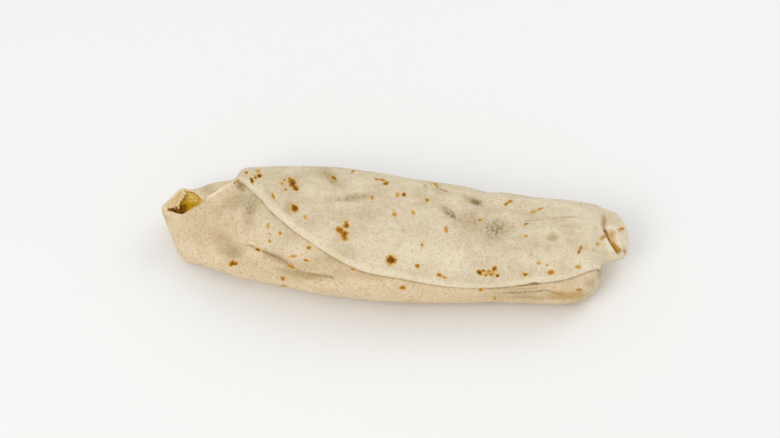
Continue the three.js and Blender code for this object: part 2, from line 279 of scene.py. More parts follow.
@dataclass
class Loops:
    """Closed loops along the roll, one to a row of each array.

    Attributes:
        shape: Arrays of x, z, tilt, tall, half, y, edge, step, skew and square. The edge is
            in degrees and the tilt in radians.
    """

    shape: dict[str, Array]

    @classmethod
    def along(cls, sections: Sequence[Section], pitch: float) -> "Loops":
        """Make loops along a smooth run of sections.

        Args:
            sections: The sections that the loops pass through.
            pitch: About how far apart the loops' undersides are.

        Returns:
            The loops.
        """
        names = [f.name for f in fields(Section)]
        rows = np.array([[getattr(s, n) for n in names] for s in sections], float)
        feet = np.array([(s.x - s.lean / 2, s.low) for s in sections])
        runs = np.linalg.norm(np.diff(feet, axis=0), axis=1)
        padded = np.vstack([rows[:1], rows, rows[-1:]])
        blended = []
        for k, run in enumerate(runs):
            before, here, after, beyond = padded[k : k + 4]
            leaving, arriving = (after - before) / 2, (beyond - here) / 2
            steps = max(2, math.ceil(run / pitch))
            t = (np.arange(steps) / steps)[:, None]
            bend = 2 * t**3 - 3 * t**2
            slopes = (t**3 - 2 * t**2 + t) * leaving + (t**3 - t**2) * arriving
            blended.append((bend + 1) * here - bend * after + slopes)
        table = np.vstack([*blended, rows[-1:]])
        shape = dict(zip(names, table.T))
        lean, top, low = shape.pop("lean"), shape.pop("top"), shape.pop("low")
        shape["tall"] = np.hypot(lean, top - low) / 2
        shape["z"] = (top + low) / 2
        shape["tilt"] = np.arctan2(lean, top - low)
        return cls(shape)

    @classmethod
    def joined(cls, parts: Sequence["Loops"]) -> "Loops":
        """Put several runs of loops end to end."""
        return cls({n: np.concatenate([p.shape[n] for p in parts]) for n in parts[0].shape})

    def __getattr__(self, name: str) -> Array:
        """Give one array as a column, to be used with angles in rows.

        Args:
            name: Name of the array.

        Returns:
            The array, with a row for each loop.
        """
        if name.startswith("_") or name == "shape":
            raise AttributeError(name)
        return self.shape[name][:, None]

    def __len__(self) -> int:
        """Count the loops."""
        return len(self.shape["x"])

    def part(self, first: int, last: int) -> "Loops":
        """Take some of the loops, from first up to last."""
        return Loops({n: v[first:last] for n, v in self.shape.items()})

    def changed(self, **arrays: Array) -> "Loops":
        """Copy the loops with some arrays replaced."""
        return Loops({**self.shape, **arrays})

    def turned(self) -> "Loops":
        """Copy the loops in the opposite order."""
        return Loops({n: v[::-1] for n, v in self.shape.items()})

    def drawn_in(self, side: Array, above: Array, below: Array) -> "Loops":
        """Draw each loop in from the skin.

        Args:
            side: How far at the sides, for each loop.
            above: How far at the top.
            below: How far at the underside.

        Returns:
            The smaller loops.
        """
        shift = (below - above) / 2
        return self.changed(
            half=self.shape["half"] - side,
            tall=self.shape["tall"] - (above + below) / 2,
            x=self.shape["x"] + shift * np.sin(self.shape["tilt"]),
            z=self.shape["z"] + shift * np.cos(self.shape["tilt"]),
        )

    def tucked(self, angles: Array) -> Array:
        """Work out how far the layer that lies under the other is below these loops.

        Args:
            angles: Degrees, one row for each loop.

        Returns:
            The depth in millimetres, with a row for each loop.
        """
        way = np.mod(self.edge - angles, 360.0) / 360.0
        under = np.maximum(smoothstep(way, *RISE), fading(way, 0.0, CROWD))
        return np.maximum(-self.step, 0.0) * under

    def points(self, angles: Array) -> Array:
        """Give the points at some angles of every loop.

        Args:
            angles: Degrees, one row for each loop.

        Returns:
            Places in millimetres, with a row of points for each loop.
        """
        turn = np.radians(angles)
        power = 2 / self.square
        up = self.tall * bent(np.sin(turn), power)
        across = -self.half * bent(np.cos(turn), power) + self.skew * up
        return np.stack(
            [
                self.x + up * np.sin(self.tilt) + CENTRING[0],
                self.y + across + CENTRING[1],
                self.z + up * np.cos(self.tilt),
            ],
            axis=2,
        )

    def axes(self, angles: Array) -> tuple[Array, Array]:
        """Give two unit vectors at some angles of every loop.

        Args:
            angles: Degrees, one row for each loop.

        Returns:
            The way along the skin to the front, and the way out of it.
        """
        along = self.points(angles - 1.0) - self.points(angles + 1.0)
        along /= np.linalg.norm(along, axis=2, keepdims=True) + SPECK
        tilt = np.broadcast_to(self.tilt, angles.shape)
        axis = np.stack([np.cos(tilt), np.zeros_like(tilt), -np.sin(tilt)], axis=2)
        out = np.cross(along, axis)
        return along, out / (np.linalg.norm(out, axis=2, keepdims=True) + SPECK)


# ---- What the skin shows, as the camera's frame shows it ----


CREASE_FALL = 1.6  # how fast a crease's change falls off, for each half width


class Profile(Enum):
    """How a stroke's change falls off across it."""

    HOLLOW = "rounded"
    CREASE = "sharp"

    def share(self, away: Array) -> Array:
        """Give the share of the change at some distances, in half widths of the stroke."""
        return np.exp(-away * CREASE_FALL) if self is Profile.CREASE else np.exp(-(away**2))


@dataclass(frozen=True)
class Stroke:
    """A line along which something changes: the relief, or how the skin is tinted.

    Attributes:
        path: Its points, in pixels across and down the frame.
        wide: Half its width, in millimetres.
        amount: How much it changes: a depth in millimetres, or a strength from 0 up.
        profile: How the change falls off across it.
        fade: Share of its length over which each end fades out.
    """

    path: Path
    wide: float
    amount: float
    profile: Profile = Profile.HOLLOW
    fade: float = 0.3

    def spread(self, pixels: Array) -> Array:
        """Work out the change at some places.

        Args:
            pixels: Where the frame shows them, one to a row.

        Returns:
            The change at each place.
        """
        path = np.array(self.path, float)
        runs = np.diff(path, axis=0)
        lengths = np.linalg.norm(runs, axis=1)
        gone = np.concatenate([[0.0], np.cumsum(lengths)])
        nearest = np.full(len(pixels), np.inf)
        way = np.zeros(len(pixels))
        for start, run, length, before in zip(path[:-1], runs, lengths, gone):
            away = pixels - start
            t = np.clip(away @ run / length**2, 0.0, 1.0)
            far = np.linalg.norm(away - t[:, None] * run, axis=1)
            closer = far < nearest
            nearest = np.where(closer, far, nearest)
            way = np.where(closer, (before + t * length) / gone[-1], way)
        ends = smoothstep(way, 0.0, self.fade) * smoothstep(1.0 - way, 0.0, self.fade)
        return self.amount * self.profile.share(nearest * SIGHT.scale / self.wide) * ends


@dataclass(frozen=True)
class Mark:
    """A spot where the skin changes: it is toasted, tinted or drawn aside.

    Attributes:
        across: Pixels across the frame to its middle.
        down: Pixels down the frame to its middle.
        long: Its length in pixels.
        wide: Its width in pixels.
        strength: How much it changes, or how far it has browned, from 0 to 1.
        turn: Turn of its length from level, in degrees, rising to the right.
    """

    across: float
    down: float
    long: float
    wide: float
    strength: float = 1.0
    turn: float = 0.0

    def nearness(self, pixels: Array) -> Array:
        """Work out how near some places are to its middle.

        Args:
            pixels: Where the frame shows them, one to a row.

        Returns:
            1 at its middle, falling evenly to 0 at twice its size.
        """
        turn = math.radians(self.turn)
        away = pixels - np.array([self.across, self.down])
        lengthwise = (away[:, 0] * math.cos(turn) - away[:, 1] * math.sin(turn)) / (self.long / 2)
        crosswise = (away[:, 0] * math.sin(turn) + away[:, 1] * math.cos(turn)) / (self.wide / 2)
        return np.clip(1.0 - np.hypot(lengthwise, crosswise) / 2.0, 0.0, 1.0)

    def spread(self, pixels: Array, start: float = 0.0, full: float = 0.9) -> Array:
        """Work out the change at some places.

        Args:
            pixels: Where the frame shows them, one to a row.
            start: Nearness to its middle at which the change starts.
            full: Nearness at which it has its whole strength.

        Returns:
            The change at each place.
        """
        return self.strength * smoothstep(self.nearness(pixels), start, full)


@dataclass(frozen=True)
class Pull:
    """A place where the mouth's rim is drawn aside.

    Attributes:
        place: How far round it the pull reaches.
        move: How far its middle moves along each axis, in millimetres.
    """

    place: Mark
    move: tuple[float, float, float]

    def at(self, pixels: Array) -> Array:
        """Work out how far each point moves, from its place in the frame."""
        return self.place.spread(pixels)[:, None] * np.array(self.move)


@dataclass(frozen=True)
class Hollow:
    """A soft hollow pressed in the roll.

    Attributes:
        x: Where along the roll it is.
        angle: Where round it, in degrees: 0 is the front, 90 the top.
        along: Its reach along the roll.
        across: Its reach round it.
        turn: Its turn from the roll's direction, in degrees.
        deep: Its depth.
    """

    x: float
    angle: float
    along: float
    across: float
    turn: float
    deep: float

    def depth(self, x: Array, angle: Array) -> Array:
        """Work out how deep it presses the skin in.

        Args:
            x: Places along the roll.
            angle: Places round it, in degrees.

        Returns:
            The depth at each place.
        """
        turn = math.radians(self.turn)
        run = x - self.x
        arc = ARC * (np.mod(angle - self.angle + 180.0, 360.0) - 180.0)
        lengthwise = (run * math.cos(turn) + arc * math.sin(turn)) / self.along
        crosswise = (arc * math.cos(turn) - run * math.sin(turn)) / self.across
        return self.deep * np.exp(-(lengthwise**2) - crosswise**2)


@dataclass(frozen=True)
class Tint:
    """A tint of the skin, painted as a value that the finish reads.

    Attributes:
        name: Name of that value.
        strokes: Lines along which the skin takes it.
        marks: Spots where it does.
        start: Nearness to a spot's middle at which the tint starts.
    """

    name: str
    strokes: tuple[Stroke, ...] = ()
    marks: tuple[Mark, ...] = ()
    start: float = 0.0

    def spread(self, pixels: Array) -> Array:
        """Work out how strong it is at some places in the frame, one to a row."""
        spots = [mark.spread(pixels, self.start) for mark in self.marks]
        return sum(stroke.spread(pixels) for stroke in self.strokes) + np.max(spots, axis=0, initial=0.0)


# Lines that both the relief and the colour follow: the crease at the lower left and its end,
# three creases in the strip under the flap, a wrinkle at the right and the nose's outer lip.
LEFT_CREASE = ((236, 244), (250, 245.5), (258, 249), (274, 256), (290, 265.5), (303, 273))
CREASE_END = ((300, 273), (314, 275), (330, 277.5), (342, 282))
STRIP_CREASE = ((484, 289), (505, 290), (530, 289), (560, 285))
STRIP_FOLD = ((488, 294), (520, 293.5), (546, 291), (562, 295), (578, 297))
STRIP_PLEAT = ((500, 299), (530, 298), (560, 300))
RIGHT_WRINKLE = ((502, 217), (524, 210.5), (544, 206.5), (562, 207), (586, 213))
NOSE_LIP = ((617.2, 231), (617.5, 236), (618, 242), (620, 249), (622, 256))

# Soft hollows in the roll, and one soft bump beside the flap's end.
HOLLOWS = (
    Hollow(28, 118, 7, 3, -35, 1.3),
    Hollow(-29, 72, 16, 2.5, 20, 0.7),
    Hollow(14, 92, 12, 3, -25, 0.8),
    Hollow(-48, 22, 14, 3, -22, 1.0),
    Hollow(-33, -4, 16, 2.5, -20, 1.1),
    Hollow(44, 190, 18, 3.5, 12, 0.9),
    Hollow(-20, 200, 22, 4, -10, 0.9),
    Hollow(29.5, 138, 4, 9, -20, 1.3),
    Hollow(-55.8, 136, 3.4, 8, 0, -0.65),
)
# Where the mouth's rim is drawn aside.
PULLS = (
    Pull(Mark(198.5, 199.5, 15, 12), (1.3, -0.2, -0.1)),
    Pull(Mark(176, 215.5, 15, 9), (0.0, 0.5, 0.4)),
    Pull(Mark(180.5, 191, 8, 7), (-0.2, 0.4, 0.35)),
    Pull(Mark(187.5, 187.5, 8, 7), (0.0, -0.35, -0.3)),
    Pull(Mark(163.5, 210, 9, 13), (-0.45, 0.0, 0.0)),
)
# Folds, dents, creases and grooves, and low ridges, which have an amount below 0.
FOLDS = (
    Stroke(((320, 170), (328, 178), (337, 186), (350, 187), (364, 185), (378, 184)), 1.2, 0.5),
    Stroke(((325, 201), (337, 198), (350, 196), (373, 189)), 2.6, 1.0),
    Stroke(((300, 204), (330, 203), (352, 203), (372, 200)), 1.6, -0.35),
    Stroke(((340, 190), (352, 190), (366, 188)), 1.2, -0.4),
    Stroke(((355, 214), (368, 212), (378, 206)), 4, 0.5),
    Stroke(((425, 177), (436, 183), (444, 188), (452, 192)), 1.2, 0.5),
    Stroke(((432, 184), (438, 190), (448, 196)), 2.4, 0.6),
    Stroke(((462, 196), (478, 202), (496, 207)), 1.8, 0.6),
    Stroke(((463, 187), (474, 190), (484, 198)), 2.2, 0.7),
    Stroke(((443, 207), (451, 214), (461, 221)), 1.6, 0.7),
    Stroke(((455, 232), (464, 222), (472, 212)), 5, 0.6),
    Stroke(((478, 234), (494, 230), (510, 227)), 4.5, 0.7),
    Stroke(
        ((503, 225), (520, 221), (539, 219.7), (562, 217), (592, 216), (601, 220)),
        0.6, 0.4, Profile.CREASE,
    ),
    Stroke(RIGHT_WRINKLE, 0.9, 0.3),
    Stroke(((508, 238.5), (524, 236.5), (546, 237)), 1.0, 0.25),
    Stroke(((214, 230), (220, 239), (230, 249), (236, 260)), 4.5, 1.0),
    Stroke(((204, 207), (225, 210), (249, 218)), 1.2, 0.3),
    Stroke(((252, 212), (256, 226), (262, 238)), 2.4, 0.4),
    Stroke(LEFT_CREASE, 0.7, 0.6, Profile.CREASE),
    Stroke(((260, 254.5), (270, 258.5), (284, 264.5), (297, 271.5)), 2.2, 0.45),
    Stroke(((240, 250), (250, 258), (262, 270)), 2, -0.4),
    Stroke(CREASE_END, 0.8, 0.6, Profile.CREASE),
    Stroke(((300, 264), (318, 266), (342, 270), (370, 280)), 1.2, 0.3),
    Stroke(((325, 284), (330, 291), (336, 295)), 0.9, 0.4),
    Stroke(STRIP_CREASE, 0.8, 0.45, Profile.CREASE),
    Stroke(STRIP_FOLD, 0.8, 0.5, Profile.CREASE),
    Stroke(STRIP_PLEAT, 0.7, 0.35, Profile.CREASE),
    Stroke(((555, 289), (570, 286), (588, 281)), 1.0, 0.4),
    Stroke(((604.5, 215), (605.2, 222), (605.2, 227), (606.5, 232)), 0.9, 0.7),
    Stroke(
        ((605, 226.5), (606.3, 231), (609, 237), (613, 244), (617.2, 250.5), (620.7, 256.5)),
        0.5, 1.2, fade=0.1,
    ),
    Stroke(((611, 232.5), (614.7, 237), (616.2, 243)), 1.2, 0.8),
    Stroke(((605.5, 229), (609, 227.6), (613, 228), (617, 230.5), (617.5, 236)), 0.5, -0.6),
    Stroke(NOSE_LIP, 0.5, -0.9),
    Stroke(((615, 227), (620, 230.5), (626, 233)), 0.5, 0.4),
    Stroke(((622, 238), (625, 248), (626, 255)), 0.6, 0.5),
)
# Toasted spots, by how far they have browned.
TOASTED = (
    Mark(246.5, 173, 3.5, 3, 0.6), Mark(252, 180.5, 7, 3.5, 0.95, -65),
    Mark(255.5, 177.5, 4.5, 3.5, 0.9, -60), Mark(259.3, 176, 6, 4, 0.95, -15),
    Mark(258, 171.5, 5, 3, 0.25), Mark(290, 179, 5, 3, 0.5, -40), Mark(292.5, 183.2, 9, 8, 0.95, -50),
    Mark(296, 188.3, 6, 5, 0.85), Mark(284.5, 180.3, 3, 3, 0.5), Mark(282, 183.5, 4, 3, 0.4, 40),
    Mark(285.5, 189.5, 3.5, 3, 0.55), Mark(273, 196, 6, 3, 0.6, -70), Mark(294.5, 208, 8, 8, 0.95),
    Mark(305, 217, 5, 4, 0.1), Mark(334, 177.5, 6, 3, 0.8, -30), Mark(353, 171.5, 6, 2.5, 0.45, 45),
    Mark(376.5, 179, 5, 2.5, 0.6, -3), Mark(382, 179.4, 5, 2.5, 0.5, -5),
    Mark(386, 183, 7, 3.5, 0.65, 15), Mark(372, 198, 3, 4, 0.5), Mark(397.5, 195, 3.5, 5, 0.25),
    Mark(404, 195, 4, 4, 0.8), Mark(427, 200, 5, 3, 0.75, -10), Mark(394.5, 214.5, 4, 6, 0.35),
    Mark(413, 212.5, 4, 5, 0.15), Mark(446, 229.5, 4, 6, 0.3), Mark(422, 245.5, 3, 6, 0.5, -10),
    Mark(346.3, 224.7, 6, 6.5, 0.75), Mark(340, 229.8, 8, 6, 0.7), Mark(344, 234.5, 8, 8, 0.8, 20),
    Mark(345, 239.2, 7, 4.5, 0.65), Mark(391, 260.4, 10, 9.5, 1.0), Mark(417.5, 266, 5, 4, 0.6),
    Mark(439.5, 275, 5, 3.5, 0.6, -22), Mark(444, 277.5, 5, 2.5, 0.3, -10),
    Mark(506, 204, 5, 3, 0.6, 40), Mark(510, 201.5, 6, 3, 0.5, 15), Mark(533, 211.5, 6, 3, 0.3, 20),
    Mark(540, 208.5, 7, 2.5, 0.35, 25), Mark(436, 183.5, 7, 2.5, 0.35, -35),
    Mark(526, 224, 5, 2.5, 0.65, 10), Mark(526, 236, 4, 2.5, 0.4, 10), Mark(480, 219.5, 4, 3, 0.6),
    Mark(581, 248, 5, 3, 0.55, 62), Mark(579, 251.5, 4.5, 3, 0.6, 62), Mark(598, 244, 5, 3.5, 0.1, 40),
    Mark(551, 272.5, 7.5, 4.5, 0.5, 5), Mark(525.5, 274.5, 7, 3.5, 0.75), Mark(539, 263, 4, 3, 0.2),
    Mark(547, 265, 3, 3, 0.4), Mark(578, 267, 6, 3.5, 0.25), Mark(489.5, 273, 13, 5, 0.15, 4),
    Mark(479.8, 272.6, 6, 4.5, 0.95, -20), Mark(483.6, 270.8, 4, 3, 0.7, -20),
    Mark(489, 270.8, 4, 2.5, 0.55), Mark(494.6, 268.6, 4.5, 6, 0.75, -30), Mark(486, 275, 4, 3, 0.55),
    Mark(491.5, 275.2, 4.5, 3, 0.65, -5), Mark(497.2, 275.7, 4, 3.5, 0.85), Mark(622, 229, 5, 3, 0.45),
    Mark(233, 263.5, 9, 5, 0.85, 5), Mark(257.5, 249.5, 6, 3, 0.9, -20), Mark(270, 241.5, 3, 3, 0.55),
    Mark(270, 234, 3, 3, 0.3), Mark(268, 226, 3, 6, 0.25, -20), Mark(280, 233, 4, 3.5, 0.45),
    Mark(309, 247.5, 5, 5, 0.45), Mark(306, 260.5, 6, 3, 0.6, -15), Mark(293, 256.5, 9, 3, 0.35, 10),
    Mark(291, 267, 9, 3.5, 0.5, -25), Mark(282.5, 278.5, 5, 4, 0.55, -20), Mark(284, 286, 6, 2.5, 0.3),
    Mark(353, 269.5, 5, 3, 0.45), Mark(403, 288, 6, 4, 0.65, -10), Mark(481, 289.5, 5, 3.5, 0.5),
    Mark(495, 298.5, 3.5, 3, 0.2), Mark(579, 290, 6, 2.5, 0.4),
)
# Grey specks and smudges, and painted grey shade in hollows, creases and along the flap's edge.
GREY_AND_SHADE = (
    Mark(494.5, 229.5, 27, 20, 0.9, 10), Mark(476, 200.8, 12, 5, 1.0, -16),
    Mark(451, 213.5, 22, 6, 1.0, -35), Mark(438, 190, 12, 6, 0.5, -30),
    Mark(482, 222, 30, 20, 0.35, -30), Mark(350, 197, 40, 7, 0.7, 5), Mark(331, 177, 18, 6, 0.6, -38),
    Mark(248, 203, 12, 22, 0.55, -20), Mark(251, 208, 9, 16, 0.8, -20), Mark(239, 185, 7, 8, 0.75),
    Mark(225, 214, 40, 16, 0.15, -10), Mark(223.8, 206, 3.5, 3, 0.9), Mark(209.8, 213, 3, 2.5, 0.8),
    Mark(203, 212.5, 7, 3, 0.35), Mark(215.5, 210.8, 3, 2, 0.6, 20), Mark(205.4, 207.2, 2.5, 2.5, 0.6),
    Mark(247.4, 222, 3.5, 3, 0.8), Mark(248, 217.8, 5, 2.5, 0.7), Mark(250.8, 205.5, 4, 3, 0.9, -60),
    Mark(252.6, 211.8, 3, 4, 0.7, 20), Mark(236.5, 252, 3, 3.5, 0.9), Mark(232, 248.8, 3, 2.5, 0.7),
    Mark(232, 250, 22, 20, 0.4, -35), Mark(283, 261.5, 50, 9, 0.55, -31),
    Mark(322, 276, 34, 5, 0.4, -6), Mark(520, 291, 66, 8, 0.45, 2), Mark(500, 288, 30, 3, 0.7, 3),
    Mark(534, 283.5, 13, 2.5, 1.0, 3), Mark(604, 224, 5, 14, 0.6),
)
# Dough in soft shade.
DUSK = (
    Mark(219, 239, 28, 22, 0.5, -20), Mark(232, 251, 26, 16, 0.6, -40), Mark(222, 209, 34, 18, 0.32),
    Mark(250, 213, 14, 34, 0.5, -12), Mark(235, 202, 26, 18, 0.55, 10),
    Mark(367, 275.5, 36, 10, 0.5, -13), Mark(212, 222, 44, 28, 0.3), Mark(289, 207, 13, 16, 0.6),
    Mark(425, 205, 30, 10, 0.3, -5), Mark(382, 205, 14, 10, 0.3), Mark(575, 246, 36, 18, 0.35),
    Mark(490, 211, 24, 10, 0.35), Mark(611, 220, 18, 14, 0.6), Mark(241, 186, 8, 10, 0.9),
    Mark(201, 237, 20, 34, 0.35, 20), Mark(167, 214, 12, 14, 0.55), Mark(222, 250, 26, 14, 0.4, -20),
    Mark(484, 238, 30, 12, 0.4), Mark(284, 262, 36, 11, 0.55, -28), Mark(302, 274.5, 46, 9, 0.8, -12),
    Mark(351, 197, 56, 10, 0.45, 4), Mark(330, 176, 26, 12, 0.5, -40), Mark(368, 212, 28, 22, 0.3, 20),
    Mark(410, 190, 40, 10, 0.3, -8), Mark(440, 190, 40, 10, 0.35, -28),
    Mark(474, 200.5, 22, 7, 0.5, -20), Mark(466, 222, 36, 30, 0.5, -40), Mark(496, 228, 30, 20, 0.45),
    Mark(552.5, 238, 11, 8, 0.8), Mark(512, 227, 4, 3, 0.9), Mark(475, 222.5, 4, 6, 0.8, -20),
    Mark(451.7, 261.6, 3.5, 3, 0.8), Mark(443, 261.6, 3, 2.5, 0.7), Mark(413.4, 275.6, 6, 3, 0.5),
    Mark(403.3, 230.3, 3, 3, 0.8), Mark(412.7, 250.6, 3, 3, 0.7), Mark(508.8, 267, 4, 3, 0.6),
    Mark(425, 186, 5, 3, 0.7, -30), Mark(500, 246, 40, 14, 0.35, -8), Mark(540, 248, 44, 18, 0.3),
    Mark(604, 221, 7, 14, 0.8), Mark(613, 233.5, 7, 8, 0.75), Mark(614, 216, 18, 12, 0.3, 40),
    Mark(520, 297, 70, 8, 0.5), Mark(565, 296, 40, 7, 0.8, 4), Mark(591, 283, 12, 9, 0.55),
    Mark(320, 263, 70, 20, 0.5, 12), Mark(290, 238, 54, 22, 0.35, 38), Mark(245, 262, 44, 14, 0.4, -20),
    Mark(292, 190, 28, 24, 0.4), Mark(352, 234, 38, 20, 0.35, 10), Mark(314, 202, 66, 16, 0.35),
    Mark(335, 190, 60, 12, 0.22), Mark(496, 238, 42, 12, 0.4), Mark(450, 212, 26, 9, 0.5, -35),
    Mark(328, 273, 56, 13, 0.45, 8), Mark(208, 189, 16, 9, 0.5, 10),
)
# Painted shade in creases and under edges, and a few dark specks.
SHADE = (
    Stroke(LEFT_CREASE, 0.45, 0.8, fade=0.15),
    Stroke(((258, 252), (268, 257), (278, 262)), 1.6, 0.35),
    Stroke(CREASE_END, 0.45, 0.9),
    Stroke(((605, 216), (605.4, 222), (605.4, 228)), 0.7, 0.5),
    Stroke(((470, 199), (475, 200.5), (482, 202.5)), 1.1, 1.05),
    Stroke(((205, 197.3), (209, 194.2), (213.5, 191.8), (219, 189)), 0.3, 0.7),
    Stroke(STRIP_CREASE, 0.4, 0.5),
    Stroke(STRIP_FOLD, 0.5, 0.7),
    Stroke(STRIP_PLEAT, 0.4, 0.5),
    Stroke(((599, 268), (600, 276), (601, 283)), 0.9, 0.8),
    Stroke(((503, 225), (520, 221), (539, 219.7), (562, 217), (592, 216)), 0.3, 0.6),
    Stroke(RIGHT_WRINKLE, 0.4, 0.3),
    Stroke(((508, 238.5), (524, 236.5), (536, 236.5)), 0.4, 0.3),
    Stroke(((320, 170), (328, 178), (337, 186)), 0.6, 0.35),
    Stroke(((437, 185.5), (443, 188), (450, 191.5)), 0.35, 0.9),
    Stroke(((605.6, 227), (606.8, 231), (609, 236.5), (612.4, 243), (616.4, 249.8)), 0.36, 2.2, fade=0.1),
    Stroke(((616, 228.5), (620.5, 231), (626, 233.5)), 0.35, 0.6),
    Stroke(((603.5, 216), (605.5, 219), (605, 224)), 1.1, 0.3),
    Stroke(((610, 262.5), (616, 262), (622, 260.5)), 0.6, 0.7),
    Stroke(((528, 284), (534, 283.2), (540, 283.2)), 0.35, 1.3),
    Stroke(((512, 286.5), (524, 285), (532, 284)), 0.3, 0.7),
    Stroke(((233, 183.2), (235, 182.4), (236.5, 182)), 0.35, 1.8),
    Stroke(((243.4, 189.8), (244, 190.3), (244.6, 190.8)), 0.3, 2),
)
# Stains of the filling, and painted olive shade under the nose's lower edge.
STAIN = (
    Stroke(((606.4, 230.5), (609.4, 237), (613.6, 244)), 0.4, 0.5, fade=0.1),
    Stroke(((611, 240), (616.6, 249), (620.2, 256)), 0.8, 1.5, fade=0.3),
    # Painted olive shade along the nose's underside, in the stains' colour.
    Stroke(((606, 261.5), (613, 261.5), (620, 260)), 1.0, 0.4),
    Stroke(((599, 241.5), (602.5, 238), (608, 233.5)), 0.9, 0.85, fade=0.35),
    Stroke(((592, 252), (594, 250), (596, 248)), 0.8, 0.5),
    Stroke(((622, 243), (623.5, 248), (625, 254)), 1.2, 0.35),
    Stroke(((165.5, 211), (166.5, 216), (169, 222)), 1.6, 0.25),
    Stroke(((235.8, 181.8), (238, 180.8), (240, 180)), 0.5, 1.2),
    Stroke(((239, 182), (241, 184), (240.5, 188)), 0.7, 0.35),
    Stroke(((472, 224), (474, 227), (476, 229)), 0.8, 0.3),
    Stroke(((625, 249), (625, 252), (626, 255)), 0.5, 0.7),
)
# Pinkish brown dough: in the nose's pocket, on the strip under the flap and near the flap's top corner.
PINK = (
    Stroke(((610.5, 232.5), (613.5, 237.5), (616, 243.5)), 0.8, 1.1, fade=0.2),
    Stroke(((607.5, 230.5), (611, 232), (614.5, 236)), 1.0, 0.9, fade=0.2),
    Stroke(((241, 178), (245, 175), (250, 174)), 1.2, 0.4),
    Stroke(((598, 270), (599, 276), (600, 282)), 1.0, 0.6),
    Stroke(((545, 293), (560, 295), (575, 296), (588, 290)), 1.8, 0.8),
)
# Pale dough on ridges, lips and edges, partly flour and partly painted highlight.
PALE = (
    Stroke(((605.5, 229), (609, 227.6), (613, 228), (617, 230.5)), 0.5, 1.2),
    Stroke(NOSE_LIP, 0.6, 1.3),
    Stroke(((602, 233), (605, 239), (609, 246), (614, 254)), 0.8, 0.7),
    Stroke(((300, 204.5), (330, 203.5), (352, 204), (372, 201)), 1.2, 0.3),
    Stroke(((376, 180), (400, 181), (424, 184)), 3, 0.5),
    Stroke(((566, 261), (580, 260), (594, 260)), 3, 0.6),
    Stroke(((396, 257), (436, 258), (476, 257)), 5, 0.7),
    Stroke(((372, 238), (400, 238), (428, 238)), 3.5, 0.45),
    Stroke(((205.5, 198.6), (211, 195.2), (216, 192.5), (224, 187.8), (233, 182.6)), 0.5, 0.9),
    Stroke(((186, 189.5), (194, 190.5), (201, 194)), 2, 0.6),
    Stroke(((340, 189.5), (352, 189), (366, 187)), 1.0, 0.5),
)
TINTS = (
    Tint("grey", marks=GREY_AND_SHADE, start=0.1),
    Tint("dusk", marks=DUSK),
    Tint("shade", strokes=SHADE),
    Tint("stain", strokes=STAIN),
    Tint("pink", strokes=PINK),
    Tint("rim", strokes=PALE),
)


# ---- Shader nodes ----


class Shader:
    """A material's node tree, with one method that adds any node."""

    MIXED_COLOUR = 2

    def __init__(self, name: str) -> None:
        """Start an empty material.

        Args:
            name: Name of the material.
        """
        self.material = bpy.data.materials.new(name)
        self.material.use_nodes = True
        self.tree = self.material.node_tree
        self.tree.nodes.clear()
        self.output = self.tree.nodes.new("ShaderNodeOutputMaterial")

    def node(self, kind: str, settings: dict | None = None, **inputs: object) -> bpy.types.Node:
        """Add a node.

        Args:
            kind: Its type.
            settings: Its properties.
            inputs: Values or links for its sockets, by name or as _0, _1 and so on.

        Returns:
            The node.
        """
        made = self.tree.nodes.new(kind)
        for key, value in (settings or {}).items():
            setattr(made, key, value)
        for key, value in inputs.items():
            socket = made.inputs[int(key[1:]) if key[1:].isdigit() else key.replace("_", " ")]
            if isinstance(value, Value):
                self.tree.links.new(value.socket, socket)
            elif value is not None:
                socket.default_value = value
        return made

    def value(self, node: bpy.types.Node, output: int | str = 0) -> "Value":
        """Wrap one of a node's outputs."""
        return Value(self, node.outputs[output])

    def attribute(self, name: str) -> "Value":
        """Read one of the piece's own painted values."""
        return self.value(self.node("ShaderNodeAttribute", {"attribute_name": name}), "Fac")

    def place(self) -> "Value":
        """Read where on the piece a point is."""
        return self.value(self.node("ShaderNodeTexCoord"), "Object")

    def grain(self, size: float, detail: float = 2.0, stretch: Colour = (1.0, 1.0, 1.0)) -> "Value":
        """Add noise whose ripples are some millimetres long.

        Args:
            size: Length of a ripple, in millimetres.
            detail: How many finer ripples ride on it.
            stretch: How much longer it is along each axis.

        Returns:
            The noise, about 0.5 in its middle.
        """
        scale = tuple(1.0 / s for s in stretch)
        placed = self.node("ShaderNodeMapping", Vector=self.place(), Scale=scale)
        made = self.node(
            "ShaderNodeTexNoise", Vector=self.value(placed), Scale=1.0 / (size * MM), Detail=detail
        )
        return self.value(made)

    def blend(
        self, amount: "Value | float", first: "Value | Colour", second: "Value | Colour"
    ) -> "Value":
        """Mix two colours.

        Args:
            amount: Share of the second, from 0 to 1.
            first: Colour where the amount is 0.
            second: Colour where the amount is 1.

        Returns:
            The mixed colour.
        """
        colours = [c if isinstance(c, Value) else (*c, 1.0) for c in (first, second)]
        made = self.node("ShaderNodeMix", {"data_type": "RGBA"}, _0=amount, _6=colours[0], _7=colours[1])
        return self.value(made, self.MIXED_COLOUR)

    def bump(self, height: "Value", strength: float, distance: float) -> "Value":
        """Roughen the surface.

        Args:
            height: Its unevenness, from 0 to 1.
            strength: How much of it shows, from 0 to 1.
            distance: How high it stands, in millimetres.

        Returns:
            The normal.
        """
        return self.value(
            self.node("ShaderNodeBump", Height=height, Strength=strength, Distance=distance * MM)
        )

    def finish(self, **inputs: object) -> Material:
        """Dress the surface.

        Args:
            inputs: Values or links for the surface's sockets, by name.

        Returns:
            The finished material.
        """
        made = self.node("ShaderNodeBsdfPrincipled", **inputs)
        self.tree.links.new(made.outputs[0], self.output.inputs[0])
        return self.material


